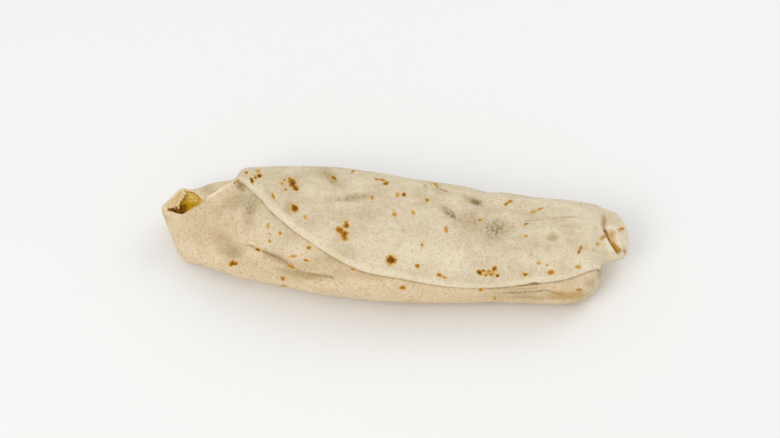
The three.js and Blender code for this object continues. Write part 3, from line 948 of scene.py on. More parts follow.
@dataclass(frozen=True)
class Value:
    """A number or colour that a node gives, with arithmetic on it."""

    shader: Shader
    socket: bpy.types.NodeSocket

    def maths(self, operation: str, first: object, second: object) -> "Value":
        """Add a Math node."""
        made = self.shader.node("ShaderNodeMath", {"operation": operation}, _0=first, _1=second)
        return self.shader.value(made)

    def __add__(self, other: "Value | float") -> "Value":
        """Add."""
        return self.maths("ADD", self, other)

    __radd__ = __add__

    def __sub__(self, other: "Value | float") -> "Value":
        """Subtract."""
        return self.maths("SUBTRACT", self, other)

    def __rsub__(self, other: float) -> "Value":
        """Subtract from a number."""
        return self.maths("SUBTRACT", other, self)

    def __mul__(self, other: "Value | float") -> "Value":
        """Multiply."""
        return self.maths("MULTIPLY", self, other)

    __rmul__ = __mul__

    def between(self, low: float, high: float) -> "Value":
        """Rise smoothly from 0 to 1.

        Args:
            low: Value up to which the result is 0.
            high: Value from which it is 1.

        Returns:
            The result.
        """
        settings = {"interpolation_type": "SMOOTHSTEP"}
        made = self.shader.node("ShaderNodeMapRange", settings, Value=self, From_Min=low, From_Max=high)
        return self.shader.value(made)


def linear(red: int, green: int, blue: int) -> Colour:
    """Turn a colour as it is seen, from 0 to 255, into the light it sends back."""
    return tuple(
        c / 12.92 if c <= 0.04045 else ((c + 0.055) / 1.055) ** 2.4
        for c in (red / 255, green / 255, blue / 255)
    )


# ---- Finishes ----


@dataclass(frozen=True)
class TortillaFinish:
    """Soft floury wheat dough with toasted spots.

    The last three colours are a toasted spot's rim, its middle and its darkest part, and
    mustard is where the filling has stained the dough.
    """

    cream: Colour = linear(229, 214, 187)
    dusk: Colour = linear(203, 188, 156)
    # Colour of the painted soft shade.
    hollow: Colour = linear(176, 153, 108)
    warm: Colour = linear(226, 199, 158)
    # Colour of the flour on edges, and of the painted highlight on edges, ridges and the nose.
    flour: Colour = linear(238, 225, 197)
    # Dough inside the mouth, painted much brighter than the rest to stand in for light in the shaded
    # throat.
    inner: Colour = linear(255, 226, 172)
    pink: Colour = linear(208, 164, 100)
    # Colour of the grey specks, and of the painted grey shade in hollows and creases.
    grey: Colour = linear(118, 104, 72)
    brown: Colour = linear(160, 128, 80)
    mustard: Colour = linear(188, 142, 50)
    # Colour of the freckles, and of the painted shade in creases and under edges.
    pin: Colour = linear(130, 98, 62)
    halo: Colour = linear(214, 178, 112)
    toast: Colour = linear(186, 128, 16)
    char: Colour = linear(104, 64, 0)

    def make(self) -> Material:
        """Make the material.

        Returns:
            The dough's material.
        """
        s = Shader("tortilla_dough")
        fine = s.grain(0.7, 2.0)
        colour, burnt = self.toasted(s, self.tinted(s, self.dough(s, fine), fine), fine)
        relief = s.grain(2.6, 3.0) * 0.5 + fine * 0.3 - burnt * 0.15
        return s.finish(
            Base_Color=colour,
            Roughness=0.74 - burnt * 0.15,
            Normal=s.bump(relief, 0.4, 0.6),
            Subsurface_Weight=0.1,
            Subsurface_Radius=(0.0014, 0.0009, 0.0004),
            Subsurface_Scale=1.0,
            Specular_IOR_Level=0.25,
        )

    def dough(self, s: Shader, fine: Value) -> Value:
        """Mix the plain dough: cream with duller patches, warmer under the front half, and darkened by
        painted soft shade.

        Args:
            s: The shader.
            fine: Its finest grain.

        Returns:
            The colour.
        """
        patches = s.grain(9.0, 2.0, (1.4, 1.0, 1.0)) * 0.45 + s.grain(2.2, 2.0) * 0.3 + fine * 0.25
        colour = s.blend(patches.between(0.34, 0.68), self.cream, self.dusk)
        streaks = 0.4 + s.grain(3.5, 3.0, (3.0, 1.0, 1.0)) * 0.9
        warmth = s.attribute("warm") * streaks
        colour = s.blend(warmth.between(0.0, 1.3) * 0.7, colour, self.warm)
        # Painted soft shade, broken up by the duller patches.
        dusk = s.attribute("dusk") * (0.35 + patches * 1.3)
        return s.blend(dusk.between(0.0, 1.0), colour, self.hollow)

    def tinted(self, s: Shader, colour: Value, fine: Value) -> Value:
        """Lay the painted tints over the dough, painted shade and highlight among them, and fine freckles
        over them.

        Args:
            s: The shader.
            colour: The dough.
            fine: Its finest grain.

        Returns:
            The colour.
        """
        # Flour and painted highlight on edges and ridges, and painted highlight on the nose.
        colour = s.blend(s.attribute("rim") * 0.55, colour, self.flour)
        # The throat's tint, painted brighter to stand in for the light that its shade takes away.
        colour = s.blend(s.attribute("inner") * 0.8, colour, self.inner)
        colour = s.blend(s.attribute("pink") * 0.7, colour, self.pink)
        # Painted shade in creases and under edges, broken up by grain.
        shade = s.attribute("shade") * (0.2 + s.grain(1.8, 2.0) * 1.0 + fine * 0.6)
        colour = s.blend(shade.between(0.0, 1.2), colour, self.brown)
        # Grey specks, and painted grey shade in hollows, creases and along the flap's edge.
        speckle = s.grain(0.8, 3.0, (1.0, 1.8, 1.0)).between(0.4, 0.66)
        grey = s.attribute("grey") * (speckle * 0.6 + 0.28)
        colour = s.blend(grey.between(0.0, 1.1), colour, self.grey)
        stain = (s.attribute("stain") * (0.6 + fine * 0.8)).between(0.1, 0.9)
        colour = s.blend(stain, colour, self.mustard)
        pins = s.grain(0.5, 1.0).between(0.60, 0.74) * s.grain(5.0, 3.0).between(0.38, 0.66)
        colour = s.blend(pins * 0.4, colour, self.pin)
        freckles = s.grain(0.8, 2.0).between(0.46, 0.8) * (0.44 + s.attribute("warm") * 0.3)
        freckles = freckles * (1.0 - s.attribute("inner") * 0.7)
        return s.blend(freckles * 0.75, colour, self.brown)

    def toasted(self, s: Shader, colour: Value, fine: Value) -> tuple[Value, Value]:
        """Lay the toasted spots over the rest, ragged at their rims.

        Args:
            s: The shader.
            colour: The colour under them.
            fine: The dough's finest grain.

        Returns:
            The colour, and from 0 to 1 how burnt it is.
        """
        toast, dark = s.attribute("toast"), s.attribute("dark")
        ragged = toast + (s.grain(1.3, 3.0) - 0.5) * 0.72 + (fine - 0.5) * 0.45
        near = toast.between(0.12, 0.4)
        colour = s.blend(ragged.between(0.16, 0.5) * near * 0.8, colour, self.halo)
        spot = ragged.between(0.36, 0.68) * near * (0.45 + dark * 0.7)
        colour = s.blend(spot.between(0.0, 1.0), colour, self.toast)
        burnt = ragged.between(0.5, 0.82) * near * dark.between(0.25, 1.0)
        return s.blend(burnt, colour, self.char), burnt


@dataclass(frozen=True)
class EggFinish:
    """Moist scrambled egg, yellow with pale curds, and painted shade in its hollows and deep in the
    mouth.
    """

    yolk: Colour = linear(178, 134, 12)
    pale: Colour = linear(216, 184, 98)
    # Colour of the painted shade in the egg's hollows and deep in the mouth.
    deep: Colour = linear(122, 80, 6)

    def make(self) -> Material:
        """Make the material.

        Returns:
            The egg's material.
        """
        s = Shader("scrambled_egg")
        lumps = s.grain(1.7, 3.0)
        pale = s.attribute("pale") * (lumps * 2.0 - 0.25) + lumps.between(0.6, 0.8) * 0.3
        colour = s.blend(pale.between(0.0, 1.0), self.yolk, self.pale)
        # Painted shade: deep in the mouth, and in random hollows between the curds.
        deep = s.attribute("deep") * 0.9 + s.grain(1.1, 3.0).between(0.5, 0.74) * 0.6
        return s.finish(
            Base_Color=s.blend(deep.between(0.0, 1.0), colour, self.deep),
            Roughness=0.55 + s.grain(2.0) * 0.25,
            Normal=s.bump(s.grain(0.9, 3.0), 0.5, 0.5),
            Specular_IOR_Level=0.03,
            Subsurface_Weight=0.05,
            Subsurface_Radius=(0.002, 0.0013, 0.0004),
            Subsurface_Scale=1.0,
        )


@dataclass(frozen=True)
class ShredFinish:
    """Pale torn shreds of egg."""

    white: Colour = linear(226, 206, 162)
    yellow: Colour = linear(206, 170, 84)

    def make(self) -> Material:
        """Make the material.

        Returns:
            The shreds' material.
        """
        s = Shader("pale_shreds")
        colour = s.blend(s.grain(0.9, 2.0).between(0.45, 0.75), self.white, self.yellow)
        return s.finish(Base_Color=colour, Roughness=0.6, Normal=s.bump(s.grain(0.6, 2.0), 0.4, 0.4))


@dataclass(frozen=True)
class SausageFinish:
    """Browned crumbled sausage."""

    brown: Colour = linear(146, 98, 4)
    dark: Colour = linear(78, 46, 0)

    def make(self) -> Material:
        """Make the material."""
        s = Shader("browned_sausage")
        return s.finish(
            Base_Color=s.blend(s.grain(1.2, 3.0).between(0.3, 0.6), self.brown, self.dark),
            Roughness=0.6 + s.grain(1.5) * 0.2,
            Normal=s.bump(s.grain(0.5, 2.0), 0.6, 0.4),
            Specular_IOR_Level=0.1,
        )


@dataclass(frozen=True)
class FloorFinish:
    """Plain pale table."""

    pale: Colour = (0.88, 0.88, 0.87)

    def make(self) -> Material:
        """Make the material."""
        s = Shader("pale_floor")
        return s.finish(Base_Color=(*self.pale, 1.0), Roughness=0.85, Specular_IOR_Level=0.1)


# ---- Pieces ----


def lofted(name: str, points: Array) -> tuple[Piece, Array]:
    """Make a closed skin over rows of points.

    Args:
        name: Name of the piece.
        points: Places in millimetres: rows along, points around, then x, y and z. The
            first and last point of a row meet, and so do all points of a pole's row.

    Returns:
        The piece, and for each of its vertices the row and column that it came from.
    """
    rows, columns = points.shape[:2]
    mesh = bmesh.new()
    bmesh.ops.create_grid(mesh, x_segments=columns - 1, y_segments=rows - 1, size=0.5)
    row_layer = mesh.verts.layers.int.new("row")
    column_layer = mesh.verts.layers.int.new("column")
    for vert in mesh.verts:
        column = round((vert.co.x + 0.5) * (columns - 1))
        row = round((vert.co.y + 0.5) * (rows - 1))
        vert[row_layer], vert[column_layer] = row, column
        vert.co = points[row, column] * MM
    bmesh.ops.remove_doubles(mesh, verts=mesh.verts, dist=SAME_PLACE)
    bmesh.ops.dissolve_degenerate(mesh, edges=mesh.edges, dist=SAME_PLACE)
    bmesh.ops.recalc_face_normals(mesh, faces=mesh.faces)
    places = np.array([(v[row_layer], v[column_layer]) for v in mesh.verts])
    mesh.verts.layers.int.remove(row_layer)
    mesh.verts.layers.int.remove(mesh.verts.layers.int["column"])
    return finished(name, mesh), places


def finished(name: str, mesh: bmesh.types.BMesh) -> Piece:
    """Turn a worked mesh into a smooth-shaded piece of the scene.

    Args:
        name: Name of the piece.
        mesh: The worked mesh, which is freed.

    Returns:
        The piece.
    """
    for face in mesh.faces:
        face.smooth = True
    data = bpy.data.meshes.new(name)
    mesh.to_mesh(data)
    mesh.free()
    piece = bpy.data.objects.new(name, data)
    bpy.context.scene.collection.objects.link(piece)
    return piece


def coordinates(piece: Piece, what: str = "co") -> Array:
    """Read a value of each of a piece's vertices.

    Args:
        piece: The piece.
        what: The places, as "co", or the normals, as "normal".

    Returns:
        Places in millimetres or unit normals, one to a row.
    """
    values = np.empty(len(piece.data.vertices) * 3)
    piece.data.vertices.foreach_get(what, values)
    return values.reshape(-1, 3) / (MM if what == "co" else 1.0)


def move_to(piece: Piece, points: Array) -> None:
    """Put a piece's vertices at some places in millimetres."""
    piece.data.vertices.foreach_set("co", (points * MM).ravel())
    piece.data.update()


def paint(piece: Piece, name: str, values: Array) -> None:
    """Give each of a piece's vertices a value that its finish reads."""
    layer = piece.data.attributes.new(name, "FLOAT", "POINT")
    layer.data.foreach_set("value", values.astype(float))


@dataclass(frozen=True)
class Surface:
    """A piece's vertices before they take their relief, one to a row.

    Attributes:
        base: Their places in millimetres.
        normals: Unit vectors out of the piece.
        pixels: Where the frame shows them.
        facing: From 0 for those that face away from the camera to 1.
        outside: From 0 for those in the throat or on its rim to 1.
    """

    base: Array
    normals: Array
    pixels: Array
    facing: Array
    outside: Array

    GRAZING = (0.02, 0.22)  # how squarely a vertex has to face the camera to be seen

    @classmethod
    def of(cls, piece: Piece, outside: Array) -> "Surface":
        """Read a piece's vertices.

        Args:
            piece: The piece, before it takes its relief.
            outside: From 0 for each vertex in the throat or on its rim to 1.

        Returns:
            The surface.
        """
        base, normals = coordinates(piece), coordinates(piece, "normal")
        facing = smoothstep(normals @ SIGHT.axes[2], *cls.GRAZING)
        return cls(base, normals, SIGHT.on_frame(base), facing, outside)

    @property
    def seen(self) -> Array:
        """Give from 0 for what the camera cannot see to 1, on the outside."""
        return self.facing * self.outside


@dataclass(frozen=True)
class Skin:
    """The skin of the rolled sheet: rows along it and columns round it, or its vertices.

    Attributes:
        points: Places in millimetres, with x, y and z along the last axis.
        way: Share of the way round from the free edge, from 0 to 1.
        upper: How far from that edge a point is round the side of the upper layer.
        lower: The same round the side of the lower layer.
        edge: Angle of the edge.
        layered: How far the two layers are apart there, in thicknesses of the sheet.
        relief: Share of the relief that a point takes.
    """

    points: Array
    way: Array
    upper: Array
    lower: Array
    edge: Array
    layered: Array
    relief: Array

    def picked(self, rows: Array, columns: Array) -> "Skin":
        """Take the skin at some rows and columns, one of each to a vertex."""
        return Skin(**{f.name: getattr(self, f.name)[rows, columns] for f in fields(self)})


@dataclass
class Tortilla:
    """The rolled sheet: its outside, its free edge, the mouth's rim and the throat.

    Attributes:
        pitch: Spacing of the loops.
        around: Points round each loop.
        edge_points: Points round the sheet's free edge.
        apron: Skin on each side of that edge that its points cover.
        most_degrees: The most degrees round the roll that its finest spacing may take.
        lip: Roundness of the mouth's rim.
        lip_loops: Loops round that rim.
        deep: How deep the throat is modelled.
        sill: How far down the throat its floor goes on getting thicker.
        side: Thickness of the sheet beside the throat, at the rim and at the bottom.
        above: The same above the throat.
        below: The same below it.
        lead_in: Loops before the outside over which the free edge comes in.
        lead_out: Loops over which the outside takes on its relief.
        edge_relief: Share of the relief that the skin takes at the free edge.
        unseen_marks: How many toasted spots the far side has.
        seed: Seed of where those are.
    """

    pitch: float = 0.6
    around: int = 230
    edge_points: int = 8
    apron: float = 1.0
    most_degrees: float = 25.0
    lip: float = 0.6
    lip_loops: int = 9
    deep: float = 15.0
    sill: float = 5.0
    side: Band = (1.1, 3.3)
    above: Band = (0.7, 2.6)
    below: Band = (1.8, 5.8)
    lead_in: int = 8
    lead_out: int = 4
    edge_relief: float = 0.25
    unseen_marks: int = 80
    seed: int = 5

    SWELLS = Ripples(0.30, (16, 11, 9), 3.1)
    DIMPLES = (Ripples(0.12, (5, 3.2, 3), 7.7), Ripples(0.06, (2.2, 1.6, 1.6), 1.3))
    SWELLING = (-74.0, -58.0)  # x between which the swells come in, past the mouth
    NEAR_EDGE = (1.0, 4.0)  # distances from the free edge between which the relief comes in
    PULLED = (8, 14)  # loops from the rim's middle between which its pulls end
    THROAT = (-12, -4)  # loops before the outside between which the throat's tint and its painted light end
    LOW_EDGE = (24.0, 60.0)  # angles of the free edge between which it stops being low
    EDGE_SHADE = (0.2, 0.9)  # distances from it between which the lower layer's shade ends
    LOW_REACH = 1.3  # how much further that shade reaches under a low edge
    SHADED = (0.15, 0.55)  # how strong it is at the mouth and past it
    PAST_MOUTH = (-52.0, -44.0)  # x between which it gets there
    FLOUR_STARTS = (0.2, 0.6)  # distances from the edge between which its flour and painted highlight come in
    FLOUR_ENDS = (0.8, 2.8)  # distances from it between which they end
    NOSE = (66.0, 78.0)  # x between which the painted highlight on the nose comes in
    NOSE_FLOUR = 0.9  # how strong that is
    FRONT_ENDS = (0.3, 0.5)  # shares of the way round between which the front half ends
    FRONT_WARMTH = 0.92  # how much warmer that half is than the back
    FLAP_REACH = (3.0, 18.0)  # distances from the edge between which skin beside the flap ends
    FLAP_END = (-40.0, -10.0)  # x between which it ends too
    FLAP_COOLS = 0.6  # share of the warmth that skin there lacks
    MOUTH = (-62.0, -54.0)  # x between which the mouth's warmth ends
    MOUTH_WARMTH = 0.7  # how warm it is at the least
    POLE = 0.2  # girth added to a loop's, which is nothing at a pole
    SIDES_MEET = 0.3  # how squarely skin faces the camera where the far side's spots end
    FAR_SIDE = 0.1  # how squarely it may face the camera in the middle of such a spot
    SPOT_SIZES = (0.5, 1.8)  # half lengths of the far side's spots
    SPOT_SHAPES = (0.6, 1.0)  # their widths, as shares of their lengths along the roll
    SPOT_BROWNED = (0.3, 0.95)  # how far they have browned

    @property
    def throat_loops(self) -> int:
        """Count the loops down the throat."""
        return int(self.deep / self.pitch)

    @property
    def first_row(self) -> int:
        """Count the rows before the outside: the pole, the throat and the rim."""
        return 1 + self.throat_loops + self.lip_loops

    def build(self) -> Piece:
        """Build and dress the tortilla.

        Returns:
            The piece.
        """
        skin = self.skin(self.loops())
        piece, places = lofted("tortilla_sheet", skin.points)
        rows, columns = places.T
        skin = skin.picked(rows, columns)
        surface = Surface.of(piece, smoothstep(rows - self.first_row, 0, self.lead_out))
        depth = self.relief(surface) * surface.outside * skin.relief
        from_rim = np.abs(rows - self.first_row + (self.lip_loops + 1) / 2)
        aside = sum(pull.at(surface.pixels) for pull in PULLS) * fading(from_rim, *self.PULLED)[:, None]
        moved = surface.base + aside - surface.normals * depth[:, None]
        moved[:, 2] = np.maximum(moved[:, 2], 0.0)
        move_to(piece, moved)
        self.tint(piece, surface, skin, rows)
        piece.data.materials.append(TortillaFinish().make())
        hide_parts("tortilla")
        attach(piece, BODY)
        return piece

    def loops(self) -> Loops:
        """Make the loops from deep in the throat, over the mouth's rim, to the right end.

        Returns:
            The loops, with a pole at each end.
        """
        outer = Loops.along(SECTIONS, self.pitch)
        count = self.throat_loops
        down = smoothstep(np.arange(count) / count, 0.0, 1.0)
        over_sill = smoothstep(np.arange(count) * self.pitch, 0.0, self.sill)
        throat = outer.part(0, count).drawn_in(
            between(self.side, down), between(self.above, down), between(self.below, over_sill)
        )
        turns = np.linspace(math.pi, 0.0, self.lip_loops + 2)[1:-1]
        mix = (1.0 + np.cos(turns)) / 2.0
        rim = {n: throat.shape[n][0] * (1 - mix) + outer.shape[n][0] * mix for n in outer.shape}
        out = self.lip * np.sin(turns)
        rim["x"] = rim["x"] - out * np.cos(rim["tilt"])
        rim["z"] = rim["z"] + out * np.sin(rim["tilt"])
        pole = {n: np.zeros(1) for n in ("half", "tall", "step", "skew")}
        bottom = throat.part(count - 1, count).changed(**pole)
        tip = outer.part(len(outer) - 1, len(outer)).changed(**pole)
        return Loops.joined([bottom, throat.turned(), Loops(rim), outer, tip])

    def wrapped(self, loops: Loops, per_mm: Array) -> tuple[Array, Array, Array]:
        """Space the skin's points round each loop, with the free edge rounded.

        Args:
            loops: The loops.
            per_mm: Degrees that a millimetre of skin covers, for each loop.

        Returns:
            The points' angles, how far out of the loop they stand, and how far along it
            towards the front they are set. A row starts and ends at the free edge.
        """
        front_rim = np.maximum(-loops.step, 0.0) / 2.0
        back_rim = np.maximum(loops.step, 0.0) / 2.0
        k = np.arange(self.edge_points + 1)[None, :] / self.edge_points
        turn = np.pi * (k - 0.5)
        near = loops.edge - per_mm * self.apron * k
        far = loops.edge - 360.0 + per_mm * self.apron * k[:, ::-1]
        share = (np.arange(self.around)[None, :] + 1.0) / (self.around + 1.0)
        body = near[:, -1:] * (1.0 - share) + far[:, :1] * share
        front_lift = front_rim * (np.sin(turn) - 1.0)
        back_lift = -2.0 * front_rim + back_rim * (1.0 + np.sin(turn[:, ::-1]))
        back_reach = back_rim * np.cos(turn[:, ::-1])
        return (
            np.hstack([near, body, far]),
            np.hstack([front_lift, loops.step * smoothstep(share, *RISE), back_lift]),
            np.hstack([-front_rim * np.cos(turn), np.zeros_like(body), back_reach]),
        )

    def skin(self, loops: Loops) -> Skin:
        """Give the points of the skin that passes over some loops.

        Args:
            loops: The loops, whose free edge comes in over the last of the throat.

        Returns:
            The skin. Each row starts at the free edge and goes down the front.
        """
        # Degrees that a millimetre of skin covers.
        per_mm = np.minimum(np.degrees(2.0 / (loops.half + loops.tall + self.POLE)), self.most_degrees)
        angles, lift, reach = self.wrapped(loops, per_mm)
        lift -= sum(hollow.depth(loops.x, angles) for hollow in HOLLOWS)
        row = np.arange(len(loops))[:, None]
        outer = smoothstep(row, self.first_row - self.lead_in, self.first_row)
        lift = lift * outer - loops.tucked(angles) * (1.0 - outer)
        along, out = loops.axes(angles)
        points = loops.points(angles) + out * lift[:, :, None] + along * (reach * outer)[:, :, None]
        points[:, -1] = points[:, 0]
        down = (loops.edge - angles) / per_mm
        up = (angles - loops.edge + 360.0) / per_mm
        over = loops.step > 0.0
        full_relief = smoothstep(np.minimum(up, down), *self.NEAR_EDGE)
        return Skin(
            points=points,
            way=(loops.edge - angles) / 360.0,
            upper=np.where(over, up, down),
            lower=np.where(over, down, up),
            edge=np.broadcast_to(loops.edge, angles.shape),
            layered=np.broadcast_to(np.abs(loops.step) / SHEET, angles.shape),
            relief=between((self.edge_relief, 1.0), full_relief),
        )

    def relief(self, surface: Surface) -> Array:
        """Work out how deep the skin is pressed in.

        Args:
            surface: The vertices.

        Returns:
            The depth at each vertex.
        """
        base = surface.base
        depth = self.SWELLS.at(base) * smoothstep(base[:, 0], *self.SWELLING)
        depth += sum(dimples.at(base) for dimples in self.DIMPLES)
        return depth + sum(fold.spread(surface.pixels) for fold in FOLDS) * surface.seen

    def tint(self, piece: Piece, surface: Surface, skin: Skin, rows: Array) -> None:
        """Paint where the skin is toasted, stained, floury and warm, and where it takes painted shade and
        painted light.

        Args:
            piece: The tortilla.
            surface: Its vertices.
            skin: The skin at each of them.
            rows: The loft's row of each.
        """
        painted = self.placed(surface, skin)
        painted["toast"], painted["dark"] = self.toasted(surface)
        # The throat takes its painted light, which fades out at the rim.
        painted["inner"] = fading(rows - self.first_row, *self.THROAT)
        for tint in TINTS:
            spread = tint.spread(surface.pixels) * surface.seen
            painted[tint.name] = spread + painted.get(tint.name, 0.0)
        for name, values in painted.items():
            paint(piece, name, values)

    def placed(self, surface: Surface, skin: Skin) -> dict[str, Array]:
        """Work out the tints that follow from where on the roll the skin is.

        Args:
            surface: The vertices.
            skin: The skin at each of them.

        Returns:
            Painted shade on the lower layer beside the free edge, which reaches further where that
            edge is low on the front; flour and painted highlight on the edge, and painted highlight
            on the nose; and warmth, greater on the front half and at the mouth than on the flap.
        """
        x = surface.base[:, 0]
        layered = skin.layered * surface.outside
        reach = self.LOW_REACH * fading(skin.edge, *self.LOW_EDGE)
        beside_edge = fading(skin.lower - reach, *self.EDGE_SHADE)
        strength = between(self.SHADED, smoothstep(x, *self.PAST_MOUTH))
        on_edge = fading(skin.upper, *self.FLOUR_ENDS) * smoothstep(skin.upper, *self.FLOUR_STARTS)
        front = 1.0 - smoothstep(skin.way, *self.FRONT_ENDS) * self.FRONT_WARMTH
        beside_flap = fading(skin.lower, *self.FLAP_REACH) * fading(x, *self.FLAP_END)
        warm = front * (1.0 - self.FLAP_COOLS * beside_flap)
        return {
            "shade": beside_edge * layered * strength,
            # Flour and painted highlight on the free edge, and painted highlight on the nose.
            "rim": on_edge * layered + self.NOSE_FLOUR * smoothstep(x, *self.NOSE),
            "warm": np.maximum(warm, self.MOUTH_WARMTH * fading(x, *self.MOUTH)),
        }

    def toasted(self, surface: Surface) -> tuple[Array, Array]:
        """Work out where the skin is toasted.

        Args:
            surface: The vertices.

        Returns:
            How near each vertex is to a toasted spot, and how dark that spot is.
        """
        chance = np.random.default_rng(self.seed)
        base = surface.base
        toast, dark = np.zeros(len(base)), np.zeros(len(base))
        for mark in TOASTED:
            near = mark.nearness(surface.pixels) * (surface.seen > self.SIDES_MEET)
            dark = np.where(near > toast, mark.strength, dark)
            toast = np.maximum(toast, near)
        far_side = (surface.facing < self.FAR_SIDE) & (surface.outside >= 1.0)
        for spot in chance.choice(np.flatnonzero(far_side), self.unseen_marks, replace=False):
            size = between(self.SPOT_SIZES, chance.uniform(0.0, 1.0) ** 2)
            stretch = (chance.uniform(*self.SPOT_SHAPES), 1.0, 1.0)
            away = np.linalg.norm((base - base[spot]) * stretch, axis=1)
            near = np.clip(1.0 - away / size / 2.0, 0.0, 1.0) * (surface.facing < self.SIDES_MEET)
            dark = np.where(near > toast, chance.uniform(*self.SPOT_BROWNED), dark)
            toast = np.maximum(toast, near)
        return toast, dark


@dataclass(frozen=True)
class Crumb:
    """A lumpy bit that lies in the mouth.

    Attributes:
        across: Pixels across the frame to its middle.
        down: Pixels down the frame to its middle.
        height: Height of its middle.
        size: Half its length along the roll, across it and upwards.
    """

    across: float
    down: float
    height: float
    size: tuple[float, float, float]


@dataclass
class Filling:
    """Scrambled egg and sausage that fill the roll and show in the mouth.

    Attributes:
        pitch: Spacing of the egg's loops.
        around: Points round each loop.
        across: Rings of points across its top in the mouth.
        last: Where the egg ends on the right, along the roll.
        side: How far its sides lie under the skin, at the mouth and in the roll.
        above: The same of its top.
        below: The same of its underside.
        thickening: Loops over which it draws in from the one to the other.
        deepest: How many loops below the mouth's rim its lowest edge starts.
        highest: How many below the rim its highest edge starts.
        high_side: Angle of the loop at which it is highest.
        mound: How far its middle stands above its edge.
        fineness: How often the faces of its crumbs are divided.
    """

    pitch: float = 0.9
    around: int = 120
    across: int = 26
    last: float = 66.0
    side: Band = (1.4, 5.0)
    above: Band = (0.9, 4.6)
    below: Band = (2.4, 3.8)
    thickening: float = 45.0
    deepest: float = 5.5
    highest: float = 1.6
    high_side: float = 110.0
    mound: float = 1.0
    fineness: int = 4

    LUMPS = (Ripples(1.0, (3.6, 2.8, 3.0), 2.2), Ripples(0.6, (1.4, 1.4, 1.4), 5.0))
    BUMPS = (Ripples(0.45, (0.9, 0.9, 0.9)), Ripples(0.2, (0.35, 0.35, 0.35)))  # of a crumb
    TOP = (0.55, 1.0)  # shares of the way across its top between which the lumps end
    PULLED = (5, 11)  # loops down from its edge between which the rim's pulls end
    SLOPE = (0.15, 0.85)  # shares of the way round to its high side between which it rises
    PALE = Mark(191.0, 195.5, 24, 10, turn=-20)
    # Where the egg takes painted shade, deep in the mouth beside the sausage.
    DEEP = Mark(183.5, 208.0, 7, 6)
    SAUSAGE = (
        Crumb(170.6, 209.6, 16.9, (1.1, 0.6, 0.3)),
        Crumb(173.4, 210.0, 16.4, (1.2, 0.8, 0.4)),
        Crumb(176.8, 210.8, 16.2, (1.2, 0.9, 0.5)),
        Crumb(182.0, 212.6, 17.3, (0.7, 0.6, 0.6)),
        Crumb(185.5, 210.0, 15.6, (0.8, 0.6, 0.5)),
        Crumb(180.5, 207.5, 15.4, (0.8, 0.7, 0.5)),
    )
    SHREDS = (
        Crumb(182.4, 191.4, 17.6, (0.4, 0.6, 0.3)),
        Crumb(184.2, 193.4, 17.6, (0.7, 0.8, 0.5)),
        Crumb(182.8, 196.2, 17.1, (0.6, 0.9, 0.5)),
        Crumb(180.8, 199.2, 16.9, (0.6, 0.8, 0.5)),
        Crumb(179.0, 202.2, 16.6, (0.55, 0.9, 0.5)),
        Crumb(177.6, 205.2, 16.2, (0.6, 0.7, 0.5)),
        Crumb(178.6, 207.8, 15.9, (0.4, 0.8, 0.4)),
    )

    def build(self) -> list[Piece]:
        """Build and dress the filling.

        Returns:
            Its pieces.
        """
        egg = self.core()
        egg.data.materials.append(EggFinish().make())
        sausage = self.crumbs("sausage_crumbs", self.SAUSAGE)
        sausage.data.materials.append(SausageFinish().make())
        shreds = self.crumbs("egg_shreds", self.SHREDS)
        shreds.data.materials.append(ShredFinish().make())
        for piece in (egg, sausage, shreds):
            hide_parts("filling")
            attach(piece, BODY)
        return [egg, sausage, shreds]

    def core(self) -> Piece:
        """Make the egg, from its lumpy top in the mouth to the right end of the roll.

        Returns:
            The piece, painted where it is pale and where it takes painted shade deep in the mouth.
        """
        loops = Loops.along([s for s in SECTIONS if s.x <= self.last], self.pitch)
        count = len(loops)
        share = smoothstep(np.arange(count), 0.0, self.thickening)
        core = loops.drawn_in(*(between(wall, share) for wall in (self.side, self.above, self.below)))
        ring = np.linspace(0.0, -360.0, self.around + 1)[None, :]
        angles = np.repeat(ring, count, axis=0)
        walls = core.points(angles) - core.axes(angles)[1] * core.tucked(angles)[:, :, None]
        sides = self.levelled(walls, ring[0])
        middle = sides[0, :-1].mean(axis=0)
        out = np.linspace(0.0, 1.0, self.across)[:-1, None, None]
        top = middle + (sides[:1] - middle) * out
        end = np.repeat(sides[-1:, :-1].mean(axis=1, keepdims=True), self.around + 1, axis=1)
        piece, places = lofted("egg_core", np.concatenate([top, sides, end]))
        base, rows = coordinates(piece), places[:, 0]
        lumps = self.mound + sum(swells.at(base) for swells in self.LUMPS)
        aside = sum(pull.at(SIGHT.on_frame(base)) for pull in PULLS)
        base += aside * fading(rows - self.across, *self.PULLED)[:, None]
        base[:, 2] += lumps * fading(rows / self.across, *self.TOP)
        move_to(piece, base)
        pixels = SIGHT.on_frame(base)
        paint(piece, "pale", self.PALE.spread(pixels, full=0.8))
        # Painted shade deep in the mouth.
        paint(piece, "deep", self.DEEP.spread(pixels, full=0.8))
        return piece

    def levelled(self, walls: Array, ring: Array) -> Array:
        """Start each line of points down the wall at the egg's level there.

        Args:
            walls: Points of every loop inside the sheet, from the mouth's rim on.
            ring: The angle of each column.

        Returns:
            The points, with as many rows.
        """
        count = len(walls)
        rise = 0.5 + 0.5 * np.cos(np.radians(ring - self.high_side))
        level = between((self.deepest, self.highest), smoothstep(rise, *self.SLOPE))
        place = level + (count - 1 - level) * (np.arange(count) / (count - 1))[:, None]
        before = np.minimum(place.astype(int), count - 2)
        share = (place - before)[:, :, None]
        column = np.arange(len(ring))[None, :]
        return walls[before, column] * (1.0 - share) + walls[before + 1, column] * share

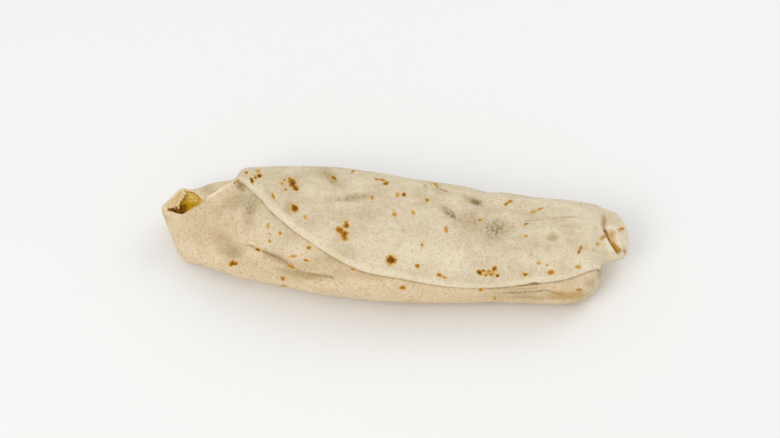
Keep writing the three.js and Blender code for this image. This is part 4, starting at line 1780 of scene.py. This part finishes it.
    def crumbs(self, name: str, crumbs: Sequence[Crumb]) -> Piece:
        """Make some lumpy bits as one piece.

        Args:
            name: Name of the piece.
            crumbs: The bits.

        Returns:
            The piece.
        """
        mesh = bmesh.new()
        for crumb in crumbs:
            middle = SIGHT.at_height(crumb.across, crumb.down, crumb.height)
            made = bmesh.ops.create_icosphere(mesh, subdivisions=self.fineness, radius=1.0)["verts"]
            ball = np.array([vert.co for vert in made])
            lump = np.ones(len(ball))
            for bumps, shift in zip(self.BUMPS, middle):
                lump += replace(bumps, seed=shift).at(ball)
            for vert, place in zip(made, middle + ball * lump[:, None] * crumb.size):
                vert.co = place * MM
        return finished(name, mesh)


@dataclass(frozen=True)
class Lamp:
    """A soft round lamp that shines on the part.

    Attributes:
        name: Its name.
        place: Where it hangs, in metres.
        size: Its width, in metres.
        power: Its power, in watts.
        colour: Its colour.
    """

    name: str
    place: tuple[float, float, float]
    size: float
    power: float
    colour: Colour

    def hang(self) -> None:
        """Add it to the scene."""
        data = bpy.data.lights.new(self.name, "AREA")
        data.shape, data.size, data.energy, data.color = "DISK", self.size, self.power, self.colour
        lamp = bpy.data.objects.new(self.name, data)
        aimed = Vector(self.place).to_track_quat("Z", "Y").to_matrix().to_4x4()
        lamp.matrix_world = Matrix.Translation(self.place) @ aimed
        bpy.context.scene.collection.objects.link(lamp)


@dataclass
class Studio:
    """Plain pale floor, soft light from above and the camera.

    Attributes:
        reach: Half the floor's width, in metres.
        sky: Strength of the even light from all round.
    """

    reach: float = 3.0
    sky: float = 0.74

    LAMPS = (
        Lamp("key", (-0.45, -0.75, 0.8), 0.7, 4.3, (1.0, 0.985, 0.96)),
        Lamp("fill", (0.6, 0.6, 0.8), 0.9, 2.6, (0.97, 0.985, 1.0)),
    )

    def build(self) -> None:
        """Build the floor and the lights, and place the camera."""
        mesh = bmesh.new()
        bmesh.ops.create_grid(mesh, x_segments=1, y_segments=1, size=self.reach)
        floor = finished("floor", mesh)
        floor.data.materials.append(FloorFinish().make())
        world = bpy.data.worlds.new("studio")
        bpy.context.scene.world = world
        world.use_nodes = True
        backdrop = world.node_tree.nodes["Background"]
        backdrop.inputs["Color"].default_value = (1.0, 1.0, 1.0, 1.0)
        backdrop.inputs["Strength"].default_value = self.sky
        for lamp in self.LAMPS:
            lamp.hang()
        SIGHT.make_camera()
        bpy.context.scene.view_settings.view_transform = "Standard"


def main() -> None:
    """Build every piece in order, and note the sizes."""
    logging.basicConfig(level=logging.INFO, format="%(message)s")
    tortilla = Tortilla().build()
    LOG.info("tortilla: %d faces", len(tortilla.data.polygons))
    for piece in Filling().build():
        LOG.info("%s: %d faces", piece.name, len(piece.data.polygons))
    Studio().build()
    LOG.info("studio is set")


if __name__ == "__main__":
    main()
